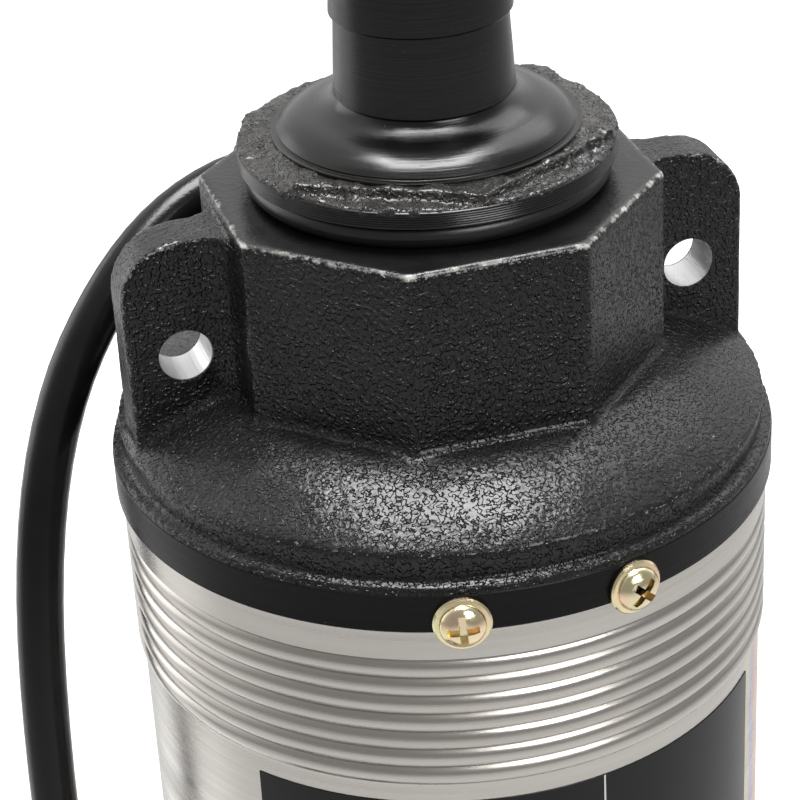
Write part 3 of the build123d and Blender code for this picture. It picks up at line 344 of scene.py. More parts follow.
def bar(name: str, radius: float, length: float, centre: Sequence[float], axis: Sequence[float],
        sides: int = 48) -> bpy.types.Object:
    """Adds a round bar along any axis, mostly as a drill.

    Args:
        name: the new object's name.
        radius: its radius.
        length: its length.
        centre: its middle.
        axis: its direction.
        sides: the number of sides.

    Returns:
        The new object.
    """
    return rod(name, radius, length, centre, Vector(axis).to_track_quat("Z", "Y").to_euler(),
               sides)


def block(name: str, size: Point3, centre: Point3) -> bpy.types.Object:
    """Adds a plain block, to be shaped further.

    Args:
        name: the new object's name.
        size: its three sides.
        centre: its middle.

    Returns:
        The new object.
    """
    nothing_selected()
    bpy.ops.mesh.primitive_cube_add(size=MM, location=[c * MM for c in centre])
    obj = bpy.context.object
    obj.name = name
    obj.scale = size
    settle(obj)
    return obj


def pick_edges(obj: bpy.types.Object, wanted: Callable[[Vector, Vector], bool]) -> None:
    """Selects the edges that a test on their two ends picks, in edit mode.

    Args:
        obj: the object in edit mode.
        wanted: the test, on both ends in millimetres.
    """
    bpy.ops.mesh.select_all(action="DESELECT")
    bpy.ops.mesh.select_mode(type="EDGE")
    close_edit()
    mesh = obj.data
    for edge in mesh.edges:
        ends = [mesh.vertices[i].co / MM for i in edge.vertices]
        edge.select = wanted(*ends)
    bpy.ops.object.mode_set(mode="EDIT")


def vertex_values(obj: bpy.types.Object, kind: str) -> np.ndarray:
    """Reads a place or a direction at each vertex.

    Args:
        obj: the mesh.
        kind: co or normal.

    Returns:
        One row of three values per vertex.
    """
    values = np.empty(len(obj.data.vertices) * 3, np.float32)
    obj.data.vertices.foreach_get(kind, values)
    return values.reshape(-1, 3)


def positions(obj: bpy.types.Object) -> np.ndarray:
    """Vertex positions of a mesh in millimetres."""
    return vertex_values(obj, "co") / MM


def weights(obj: bpy.types.Object, name: str, values: np.ndarray) -> None:
    """Stores one weight per vertex as a vertex group.

    Args:
        obj: the object.
        name: the group's name.
        values: the weights, from 0 to 1.
    """
    group = obj.vertex_groups.new(name=name)
    levels = 8
    shares = np.round(np.clip(values, 0, 1) * levels).astype(int)
    for level in range(1, levels + 1):
        found = np.nonzero(shares == level)[0]
        if len(found):
            group.add(found.tolist(), level / levels, "REPLACE")


def roughen(obj: bpy.types.Object, group: str, size: float, depth: float) -> None:
    """Raises and sinks a dense mesh a little, as a sand mould leaves a casting.

    Args:
        obj: the dense mesh.
        group: the vertex group that says how much.
        size: the size of the lumps.
        depth: their height.
    """
    lumps = bpy.data.textures.new(f"{obj.name}_lumps", "CLOUDS")
    lumps.noise_scale = size * MM
    lumps.noise_depth = 2
    step = obj.modifiers.new("roughen", "DISPLACE")
    step.texture = lumps
    step.texture_coords = "LOCAL"
    step.vertex_group = group
    step.strength = depth * MM
    step.mid_level = 0.5
    apply_all(obj)


def mark_edges(obj: bpy.types.Object, reach: int = 2) -> None:
    """Stores how far each vertex stands out from its neighbours, for wear on the edges.

    Args:
        obj: a dense, even mesh.
        reach: how many times the marks are spread.
    """
    mesh = obj.data
    ends = np.empty(len(mesh.edges) * 2, np.int64)
    mesh.edges.foreach_get("vertices", ends)
    ends = ends.reshape(-1, 2)
    spots = positions(obj)
    links = np.zeros(len(mesh.vertices))
    np.add.at(links, ends.ravel(), 1)
    links = np.maximum(links, 1)

    def neighbour_mean(values: np.ndarray) -> np.ndarray:
        """Takes the mean over each vertex's neighbours.

        Args:
            values: one value or one row per vertex.

        Returns:
            The means, in the same form.
        """
        total = np.zeros_like(values, dtype=float)
        np.add.at(total, ends[:, 0], values[ends[:, 1]])
        np.add.at(total, ends[:, 1], values[ends[:, 0]])
        return total / (links if total.ndim == 1 else links[:, None])

    out = ((spots - neighbour_mean(spots)) * vertex_values(obj, "normal")).sum(1)
    for _ in range(reach):
        out = 0.5 * out + 0.5 * neighbour_mean(out)
    mark = mesh.attributes.new("edge", "FLOAT", "POINT")
    mark.data.foreach_set("value", out.astype(np.float32))


# Finishes


class Grain(Enum):
    """What a surface looks like close to."""

    CAST = "rough casting"
    MACHINED = "turned on a lathe"
    SMOOTH = "smooth"
    ROLLED = "rolled sheet"
    PLATED = "plated"
    RUBBER = "rubber"
    MOULDED = "moulded plastic"
    WOUND = "wound wire"


@dataclass(frozen=True)
class Finish:
    """One finish: a colour, how it shines, and its grain.

    Attributes:
        name: the finish's name, also the material's.
        colour: the plain colour.
        second: the colour that it varies towards.
        roughness: the middle roughness.
        metallic: 1 for bare metal.
        grain: the kind of surface.
        depth: the depth of its grain in millimetres.
        wear: the share of bare metal on its edges.
        shine: how strongly it mirrors, 0.5 for a plain gloss.
    """

    name: str
    colour: Point3
    second: Point3
    roughness: float
    metallic: float = 0.0
    grain: Grain = Grain.SMOOTH
    depth: float = 0.05
    wear: float = 0.0
    shine: float = 0.5


PAINT_CAST = Finish("painted_casting", (0.004, 0.004, 0.0045), (0.010, 0.0095, 0.009), 0.25,
                    0.0, Grain.CAST, 0.34, 1.0, 0.38)
PAINT_FLANGE = Finish("painted_flange", (0.009, 0.009, 0.009), (0.022, 0.02, 0.018), 0.27,
                      0.0, Grain.CAST, 0.42, 0.7)
PAINT_TURNED = Finish("painted_turning", (0.003, 0.003, 0.0035), (0.006, 0.0055, 0.005), 0.17,
                      0.0, Grain.MACHINED, 0.04, 0.0, 0.42)
PAINT_BAND = Finish("painted_band", (0.004, 0.004, 0.0045), (0.008, 0.0075, 0.007), 0.26,
                    0.0, Grain.MACHINED, 0.045, 0.0, 0.13)
STEEL_SHELL = Finish("rolled_steel", (0.60, 0.575, 0.54), (0.50, 0.47, 0.43), 0.25,
                     1.0, Grain.ROLLED, 0.02)
STEEL_INNER = Finish("inner_steel", (0.55, 0.55, 0.54), (0.46, 0.46, 0.45), 0.34,
                     1.0, Grain.ROLLED, 0.02)
ZINC = Finish("yellow_zinc", (1.0, 0.88, 0.52), (1.0, 0.66, 0.50), 0.15,
              1.0, Grain.PLATED, 0.02)
BRIGHT = Finish("drilled_iron", (0.74, 0.74, 0.75), (0.52, 0.52, 0.53), 0.3,
                1.0, Grain.MACHINED, 0.06)
RING_RUBBER = Finish("ring_rubber", (0.008, 0.008, 0.0085), (0.013, 0.013, 0.0135), 0.3,
                     0.0, Grain.RUBBER, 0.02)
CABLE_RUBBER = Finish("cable_rubber", (0.004, 0.004, 0.0045), (0.007, 0.007, 0.0075), 0.2,
                      0.0, Grain.RUBBER, 0.03, 0.0, 0.27)
LABEL = Finish("label_film", (0.006, 0.006, 0.007), (0.009, 0.009, 0.01), 0.18,
               0.0, Grain.SMOOTH, 0.01, 0.0, 0.24)
BLACK_PLASTIC = Finish("black_plastic", (0.02, 0.02, 0.021), (0.03, 0.03, 0.031), 0.42,
                       0.0, Grain.MOULDED, 0.05)
STAGE_PLASTIC = Finish("stage_plastic", (0.05, 0.052, 0.055), (0.07, 0.072, 0.075), 0.45,
                       0.0, Grain.MOULDED, 0.05)
IMPELLER_PLASTIC = Finish("impeller_plastic", (0.62, 0.60, 0.54), (0.55, 0.53, 0.47), 0.42,
                          0.0, Grain.MOULDED, 0.04)
BRONZE = Finish("bronze", (0.50, 0.33, 0.16), (0.42, 0.28, 0.14), 0.35,
                1.0, Grain.MACHINED, 0.03)
GROUND_STEEL = Finish("ground_steel", (0.62, 0.62, 0.62), (0.52, 0.52, 0.52), 0.2,
                      1.0, Grain.MACHINED, 0.02)
CERAMIC = Finish("seal_ceramic", (0.78, 0.77, 0.73), (0.70, 0.69, 0.66), 0.25,
                 0.0, Grain.SMOOTH, 0.01)
CARBON = Finish("seal_carbon", (0.03, 0.03, 0.032), (0.05, 0.05, 0.052), 0.4,
                0.0, Grain.SMOOTH, 0.02)
SHEETS = Finish("motor_sheets", (0.30, 0.30, 0.31), (0.22, 0.21, 0.21), 0.42,
                1.0, Grain.ROLLED, 0.08)
COPPER = Finish("enamelled_copper", (0.52, 0.20, 0.08), (0.42, 0.14, 0.06), 0.3,
                0.8, Grain.WOUND, 0.3)
CAPACITOR_SHELL = Finish("capacitor_shell", (0.72, 0.72, 0.70), (0.66, 0.66, 0.64), 0.4,
                         0.0, Grain.MOULDED, 0.03)
TIE = Finish("tie_band", (0.03, 0.03, 0.031), (0.045, 0.045, 0.046), 0.5,
             0.0, Grain.MOULDED, 0.05)
PIN_METAL = Finish("pin_brass", (0.62, 0.60, 0.52), (0.55, 0.52, 0.44), 0.25,
                   1.0, Grain.MACHINED, 0.02)
LABEL_WHITE = Finish("label_white", (0.75, 0.75, 0.76), (0.68, 0.68, 0.69), 0.4)
WORN_IRON = (0.34, 0.33, 0.31)
DUST = (0.12, 0.11, 0.10)
PLATING_GREEN = (0.62, 0.74, 0.46)
SEAM_ANGLE = math.radians(30.0) - 0.06
SEAM_WIDTH = 0.19
SEAM_COLOURS = ((0.0, (0.76, 0.56, 0.26)), (0.3, (0.66, 0.42, 0.46)), (0.5, (0.36, 0.43, 0.70)),
                (0.72, (0.70, 0.60, 0.34)), (1.0, (0.60, 0.575, 0.54)))


# Shader nodes


Value = bpy.types.NodeSocket | float


def put(tree: bpy.types.NodeTree, slot: bpy.types.NodeSocket,
        value: Value | Point3 | Sequence[float]) -> None:
    """Feeds an input from a socket, or sets its plain value.

    Args:
        tree: the node tree.
        slot: the input.
        value: a socket, a number, a colour or a vector.
    """
    if isinstance(value, bpy.types.NodeSocket):
        tree.links.new(value, slot)
    elif slot.type == "RGBA" and len(value) == 3:
        slot.default_value = (*value, 1.0)
    else:
        slot.default_value = value


def math_node(tree: bpy.types.NodeTree, kind: str, *values: Value) -> bpy.types.NodeSocket:
    """Adds a math node.

    Args:
        tree: the node tree.
        kind: the operation.
        values: its sockets or numbers, in order.

    Returns:
        The node's output.
    """
    node = tree.nodes.new("ShaderNodeMath")
    node.operation = kind
    for slot, value in zip(node.inputs, values):
        put(tree, slot, value)
    return node.outputs[0]


def noise(tree: bpy.types.NodeTree, vector: bpy.types.NodeSocket, scale: Value,
          detail: float, roughness: float) -> bpy.types.NodeSocket:
    """Adds a noise texture.

    Args:
        tree: the node tree.
        vector: the coordinates.
        scale: the noise's scale, per metre.
        detail: its detail.
        roughness: its roughness.

    Returns:
        Its grey output.
    """
    node = tree.nodes.new("ShaderNodeTexNoise")
    put(tree, node.inputs["Vector"], vector)
    put(tree, node.inputs["Scale"], scale)
    node.inputs["Detail"].default_value = detail
    node.inputs["Roughness"].default_value = roughness
    return node.outputs["Fac"]


def mix_colour(tree: bpy.types.NodeTree, share: Value, first: bpy.types.NodeSocket | Point3,
               second: bpy.types.NodeSocket | Point3) -> bpy.types.NodeSocket:
    """Adds a colour mix.

    Args:
        tree: the node tree.
        share: 0 for the first colour, 1 for the second.
        first: the first colour.
        second: the second colour.

    Returns:
        The mixed colour.
    """
    node = tree.nodes.new("ShaderNodeMix")
    node.data_type = "RGBA"
    factor, left, right = (node.inputs[index] for index in (0, 6, 7))
    put(tree, factor, share)
    put(tree, left, first)
    put(tree, right, second)
    return node.outputs[2]


def ranged(tree: bpy.types.NodeTree, value: bpy.types.NodeSocket, start: float, end: float,
           low: float = 0.0, high: float = 1.0, smooth: bool = False) -> bpy.types.NodeSocket:
    """Maps a value from one range to another, and holds it at both ends.

    Args:
        tree: the node tree.
        value: the value.
        start: where the low end begins.
        end: where the high end is reached.
        low: what comes out at the low end.
        high: what comes out at the high end.
        smooth: whether it eases in and out.

    Returns:
        The mapped value.
    """
    node = tree.nodes.new("ShaderNodeMapRange")
    if smooth:
        node.interpolation_type = "SMOOTHSTEP"
    for label, number in (("From Min", start), ("From Max", end), ("To Min", low), ("To Max", high)):
        node.inputs[label].default_value = number
    tree.links.new(value, node.inputs["Value"])
    return node.outputs["Result"]


def spread(tree: bpy.types.NodeTree, value: bpy.types.NodeSocket, low: float,
           high: float) -> bpy.types.NodeSocket:
    """Spreads the middle of a noise over a range.

    Args:
        tree: the node tree.
        value: the noise.
        low: what its low end becomes.
        high: what its high end becomes.

    Returns:
        The mapped value.
    """
    return ranged(tree, value, 0.3, 0.7, low, high)


def ramp(tree: bpy.types.NodeTree, value: bpy.types.NodeSocket,
         stops: Sequence[tuple[float, Point3]]) -> bpy.types.NodeSocket:
    """Turns a value into a colour.

    Args:
        tree: the node tree.
        value: the value.
        stops: places and their colours, in order.

    Returns:
        The colour.
    """
    node = tree.nodes.new("ShaderNodeValToRGB")
    band = node.color_ramp.elements
    for element, (place, colour) in zip(band, (stops[0], stops[-1])):
        element.position = place
        element.color = (*colour, 1.0)
    for place, colour in stops[1:-1]:
        band.new(place).color = (*colour, 1.0)
    tree.links.new(value, node.inputs["Fac"])
    return node.outputs["Color"]


def split(tree: bpy.types.NodeTree,
          vector: bpy.types.NodeSocket) -> dict[str, bpy.types.NodeSocket]:
    """Splits a vector into its three parts.

    Args:
        tree: the node tree.
        vector: the vector.

    Returns:
        The parts, by X, Y and Z.
    """
    node = tree.nodes.new("ShaderNodeSeparateXYZ")
    tree.links.new(vector, node.inputs[0])
    return {part.name: part for part in node.outputs}


class Effects:
    """Shader node groups that several materials share, each built once."""

    def __init__(self) -> None:
        """Starts with no group built."""
        self.built: dict[str, bpy.types.NodeTree] = {}

    def group(self, name: str) -> bpy.types.NodeTree:
        """Finds a shared group, or builds it on first use.

        Args:
            name: the group's name, which is also its builder's.

        Returns:
            The group.
        """
        if name not in self.built:
            makers = {"sand_cast": self._sand_cast, "lathe_lines": self._lathe_lines,
                      "edge_wear": self._edge_wear, "specks": self._specks}
            self.built[name] = makers[name]()
        return self.built[name]

    def _new(self, name: str, inputs: Iterable[tuple[str, float]],
             outputs: Iterable[str]) -> tuple[bpy.types.NodeTree, bpy.types.Node, bpy.types.Node]:
        """Makes an empty group with a vector input, named float inputs and float outputs.

        Args:
            name: the group's name.
            inputs: names and starting values.
            outputs: names of the outputs.

        Returns:
            The tree, its input node and its output node.
        """
        tree = bpy.data.node_groups.new(name, "ShaderNodeTree")
        tree.interface.new_socket("Vector", in_out="INPUT", socket_type="NodeSocketVector")
        for label, value in inputs:
            socket = tree.interface.new_socket(label, in_out="INPUT", socket_type="NodeSocketFloat")
            socket.default_value = value
        for label in outputs:
            tree.interface.new_socket(label, in_out="OUTPUT", socket_type="NodeSocketFloat")
        return tree, tree.nodes.new("NodeGroupInput"), tree.nodes.new("NodeGroupOutput")

    def _sand_cast(self) -> bpy.types.NodeTree:
        """Builds the lumps that a sand mould leaves: a height, and a slow blotch.

        Returns:
            The group.
        """
        tree, source, sink = self._new("sand_cast", [("Scale", 900.0)], ["Height", "Blotch"])
        vector, scale = source.outputs["Vector"], source.outputs["Scale"]
        warp = noise(tree, vector, scale, 1.0, 0.35)
        fine = noise(tree, vector, math_node(tree, "MULTIPLY", scale, 2.3), 3.0, 0.55)
        cells = tree.nodes.new("ShaderNodeTexVoronoi")
        cells.feature = "SMOOTH_F1"
        cells.inputs["Smoothness"].default_value = 0.6
        put(tree, cells.inputs["Vector"], vector)
        put(tree, cells.inputs["Scale"], math_node(tree, "MULTIPLY", scale, 0.9))
        plates = ranged(tree, warp, 0.47, 0.6, smooth=True)
        domes = math_node(tree, "MULTIPLY", cells.outputs["Distance"], -0.14)
        lumps = math_node(tree, "ADD", domes, math_node(tree, "MULTIPLY", plates, 0.8))
        height = math_node(tree, "ADD", lumps, math_node(tree, "MULTIPLY", fine, 0.06))
        blotch = noise(tree, vector, math_node(tree, "MULTIPLY", scale, 0.06), 3.0, 0.6)
        put(tree, sink.inputs["Height"], height)
        put(tree, sink.inputs["Blotch"], blotch)
        return tree

    def _lathe_lines(self) -> bpy.types.NodeTree:
        """Builds the fine lines round a turned or rolled piece.

        Returns:
            The group.
        """
        tree, source, sink = self._new(
            "lathe_lines", [("Scale", 2500.0), ("Waver", 0.02)], ["Height", "Streak"])
        scale = source.outputs["Scale"]
        place = split(tree, source.outputs["Vector"])
        squares = [math_node(tree, "MULTIPLY", place[side], place[side]) for side in "XY"]
        flat = tree.nodes.new("ShaderNodeCombineXYZ")
        put(tree, flat.inputs["X"], math_node(tree, "SQRT", math_node(tree, "ADD", *squares)))
        put(tree, flat.inputs["Z"], place["Z"])
        put(tree, flat.inputs["Y"],
            math_node(tree, "MULTIPLY", place["X"], source.outputs["Waver"]))
        streak = math_node(tree, "MULTIPLY", scale, 0.12)
        put(tree, sink.inputs["Height"], noise(tree, flat.outputs[0], scale, 4.0, 0.7))
        put(tree, sink.inputs["Streak"], noise(tree, flat.outputs[0], streak, 3.0, 0.6))
        return tree

    def _edge_wear(self) -> bpy.types.NodeTree:
        """Builds the ragged worn spots along the stored edge marks.

        Returns:
            The group.
        """
        tree, source, sink = self._new(
            "edge_wear", [("Edge", 0.0), ("Amount", 1.0), ("Scale", 600.0)], ["Mask"])
        ragged = noise(tree, source.outputs["Vector"], source.outputs["Scale"], 4.0, 0.7)
        lifted = math_node(tree, "MULTIPLY_ADD", ragged, 0.16, -0.08)
        total = math_node(tree, "ADD", source.outputs["Edge"], lifted)
        put(tree, sink.inputs["Mask"], math_node(
            tree, "MULTIPLY", ranged(tree, total, 0.07, 0.11), source.outputs["Amount"]))
        return tree

    def _specks(self) -> bpy.types.NodeTree:
        """Builds small scattered specks, as dust on a dark gloss.

        Returns:
            The group.
        """
        tree, source, sink = self._new("specks", [("Scale", 2600.0), ("Cut", 0.8)], ["Mask"])
        dots = noise(tree, source.outputs["Vector"], source.outputs["Scale"], 1.0, 0.4)
        put(tree, sink.inputs["Mask"],
            math_node(tree, "GREATER_THAN", dots, source.outputs["Cut"]))
        return tree


@dataclass(frozen=True)
class Coat:
    """A material while it is made.

    Attributes:
        tree: its node tree.
        shader: its shader.
        coords: the piece's own coordinates.
        finish: the finish that it shows.
    """

    tree: bpy.types.NodeTree
    shader: bpy.types.Node
    coords: bpy.types.NodeSocket
    finish: Finish

    def put(self, label: str, value: Value) -> None:
        """Feeds one of the shader's inputs."""
        put(self.tree, self.shader.inputs[label], value)

    def colours(self, value: bpy.types.NodeSocket) -> bpy.types.NodeSocket:
        """Mixes the finish's two colours by a noise.

        Args:
            value: the noise.

        Returns:
            The mixed colour.
        """
        return mix_colour(self.tree, spread(self.tree, value, 0.0, 1.0),
                          self.finish.colour, self.finish.second)

    def gloss(self, value: bpy.types.NodeSocket, less: float, more: float) -> None:
        """Varies the roughness by a noise.

        Args:
            value: the noise.
            less: how far it goes below the finish's roughness.
            more: how far it goes above.
        """
        middle = self.finish.roughness
        self.put("Roughness", spread(self.tree, value, middle - less, middle + more))

    def bump(self, height: bpy.types.NodeSocket) -> None:
        """Feeds a height to the shader's normal, as deep as the finish's grain.

        Args:
            height: the height, from 0 to 1.
        """
        node = self.tree.nodes.new("ShaderNodeBump")
        node.inputs["Strength"].default_value = 1.0
        node.inputs["Distance"].default_value = self.finish.depth * MM
        self.tree.links.new(height, node.inputs["Height"])
        self.put("Normal", node.outputs["Normal"])


class Paintshop:
    """Makes each finish's material once and puts it on pieces."""

    def __init__(self) -> None:
        """Starts with no material made."""
        self.effects = Effects()
        self.made: dict[str, bpy.types.Material] = {}

    def dress(self, obj: bpy.types.Object, finish: Finish) -> None:
        """Gives a piece one finish all over.

        Args:
            obj: the piece, a new one or a CAD node.
            finish: its finish.
        """
        obj.data.materials.clear()
        obj.data.materials.append(self.material(finish))

    def material(self, finish: Finish) -> bpy.types.Material:
        """Finds the material of a finish, or makes it on first use.

        Args:
            finish: the finish.

        Returns:
            Its material.
        """
        if finish.name in self.made:
            return self.made[finish.name]
        material = bpy.data.materials.new(finish.name)
        material.use_nodes = True
        tree = material.node_tree
        shader = tree.nodes["Principled BSDF"]
        shader.inputs["Metallic"].default_value = finish.metallic
        shader.inputs["Specular IOR Level"].default_value = finish.shine
        coords = tree.nodes.new("ShaderNodeTexCoord").outputs["Object"]
        makers = {Grain.CAST: self._cast, Grain.MACHINED: self._machined,
                  Grain.ROLLED: self._machined, Grain.PLATED: self._plated,
                  Grain.WOUND: self._wound}
        makers.get(finish.grain, self._plain)(Coat(tree, shader, coords, finish))
        self.made[finish.name] = material
        return material

    def _effect(self, coat: Coat, name: str, **values: float) -> bpy.types.Node:
        """Places a shared group in a material.

        Args:
            coat: the material.
            name: the group's name.
            values: its inputs by name.

        Returns:
            The placed node.
        """
        node = coat.tree.nodes.new("ShaderNodeGroup")
        node.node_tree = self.effects.group(name)
        coat.tree.links.new(coat.coords, node.inputs["Vector"])
        for label, value in values.items():
            node.inputs[label].default_value = value
        return node

    def _cast(self, coat: Coat) -> None:
        """Makes gloss paint over a sand casting, worn to bright iron on its edges.

        Args:
            coat: the material.
        """
        tree, finish = coat.tree, coat.finish
        cast = self._effect(coat, "sand_cast", Scale=1500.0)
        edge = tree.nodes.new("ShaderNodeAttribute")
        edge.attribute_name = "edge"
        wear = self._effect(coat, "edge_wear", Amount=finish.wear)
        tree.links.new(edge.outputs["Fac"], wear.inputs["Edge"])
        coat.put("Base Color", mix_colour(
            tree, wear.outputs["Mask"], coat.colours(cast.outputs["Blotch"]), WORN_IRON))
        coat.gloss(cast.outputs["Blotch"], 0.04, 0.08)
        top = 0.05 if finish.name == PAINT_CAST.name else 1.0
        grain = ranged(tree, split(tree, coat.coords)["Z"], (CROWN_Z - 0.9) * MM,
                       (CROWN_Z - 0.35) * MM, 1.0, top)
        coat.bump(math_node(tree, "MULTIPLY", cast.outputs["Height"], grain))

    def _machined(self, coat: Coat) -> None:
        """Makes lathe or rolling lines round the pump's axis, with faint streaks and specks.

        Args:
            coat: the material.
        """
        lines = self._effect(coat, "lathe_lines")
        body = coat.colours(lines.outputs["Streak"])
        if coat.finish.metallic < 0.5:
            dust = self._effect(coat, "specks")
            body = mix_colour(coat.tree, dust.outputs["Mask"], body, DUST)
        coat.put("Base Color", body)
        coat.gloss(lines.outputs["Streak"], 0.06, 0.08)
        coat.bump(lines.outputs["Height"])

    def _plated(self, coat: Coat) -> None:
        """Makes yellow zinc with the thin rainbow of its plating.

        Args:
            coat: the material.
        """
        tree = coat.tree
        fine = noise(tree, coat.coords, 2400.0, 3.0, 0.6)
        warm = coat.colours(noise(tree, coat.coords, 260.0, 2.0, 0.5))
        green = spread(tree, noise(tree, coat.coords, 420.0, 2.0, 0.5), 0.0, 0.5)
        coat.put("Base Color", mix_colour(tree, green, warm, PLATING_GREEN))
        coat.gloss(fine, 0.05, 0.1)
        coat.bump(fine)

    def _wound(self, coat: Coat) -> None:
        """Makes bundles of enamelled wire.

        Args:
            coat: the material.
        """
        wave = coat.tree.nodes.new("ShaderNodeTexWave")
        wave.inputs["Scale"].default_value = 260.0
        wave.inputs["Distortion"].default_value = 2.5
        coat.tree.links.new(coat.coords, wave.inputs["Vector"])
        coat.put("Base Color", mix_colour(
            coat.tree, wave.outputs["Fac"], coat.finish.second, coat.finish.colour))
        coat.put("Roughness", coat.finish.roughness)
        coat.bump(wave.outputs["Fac"])

    def _plain(self, coat: Coat) -> None:
        """Makes rubber, plastic and other smooth skins, with faint mottling and a fine grain.

        Args:
            coat: the material.
        """
        slow = noise(coat.tree, coat.coords, 60.0, 3.0, 0.6)
        coat.put("Base Color", coat.colours(slow))
        coat.gloss(slow, 0.05, 0.08)
        coat.bump(noise(coat.tree, coat.coords, 1800.0, 3.0, 0.6))


# Sub-assemblies


@dataclass
class SubAssembly:
    """A group of pieces that is built and dressed together.

    Attributes:
        shop: makes the finishes.
        pieces: what was built, for the log.
    """

    shop: Paintshop
    pieces: list[bpy.types.Object] = field(default_factory=list)

    def place(self, obj: bpy.types.Object, finish: Finish, slot: str, *nodes: str) -> None:
        """Dresses a finished piece and lets it ride on the pump.

        Args:
            obj: the piece.
            finish: its finish.
            slot: a material slot's name; not used.
            nodes: the CAD nodes that it stands for.
        """
        self.shop.dress(obj, finish)
        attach(obj, BODY)
        if nodes:
            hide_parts(*nodes)
        self.pieces.append(obj)

    def report(self) -> None:
        """Logs each piece of this sub-assembly."""
        for obj in self.pieces:
            faces = len(obj.data.polygons) if obj.type == "MESH" else 0
            log.info("%s: %s, %d faces", type(self).__name__, obj.name, faces)


def gland_axis() -> Vector:
    """Finds the way that the cable leaves its gland."""
    tilt = math.radians(GLAND_TILT)
    return Vector((-math.cos(tilt), 0, math.sin(tilt)))


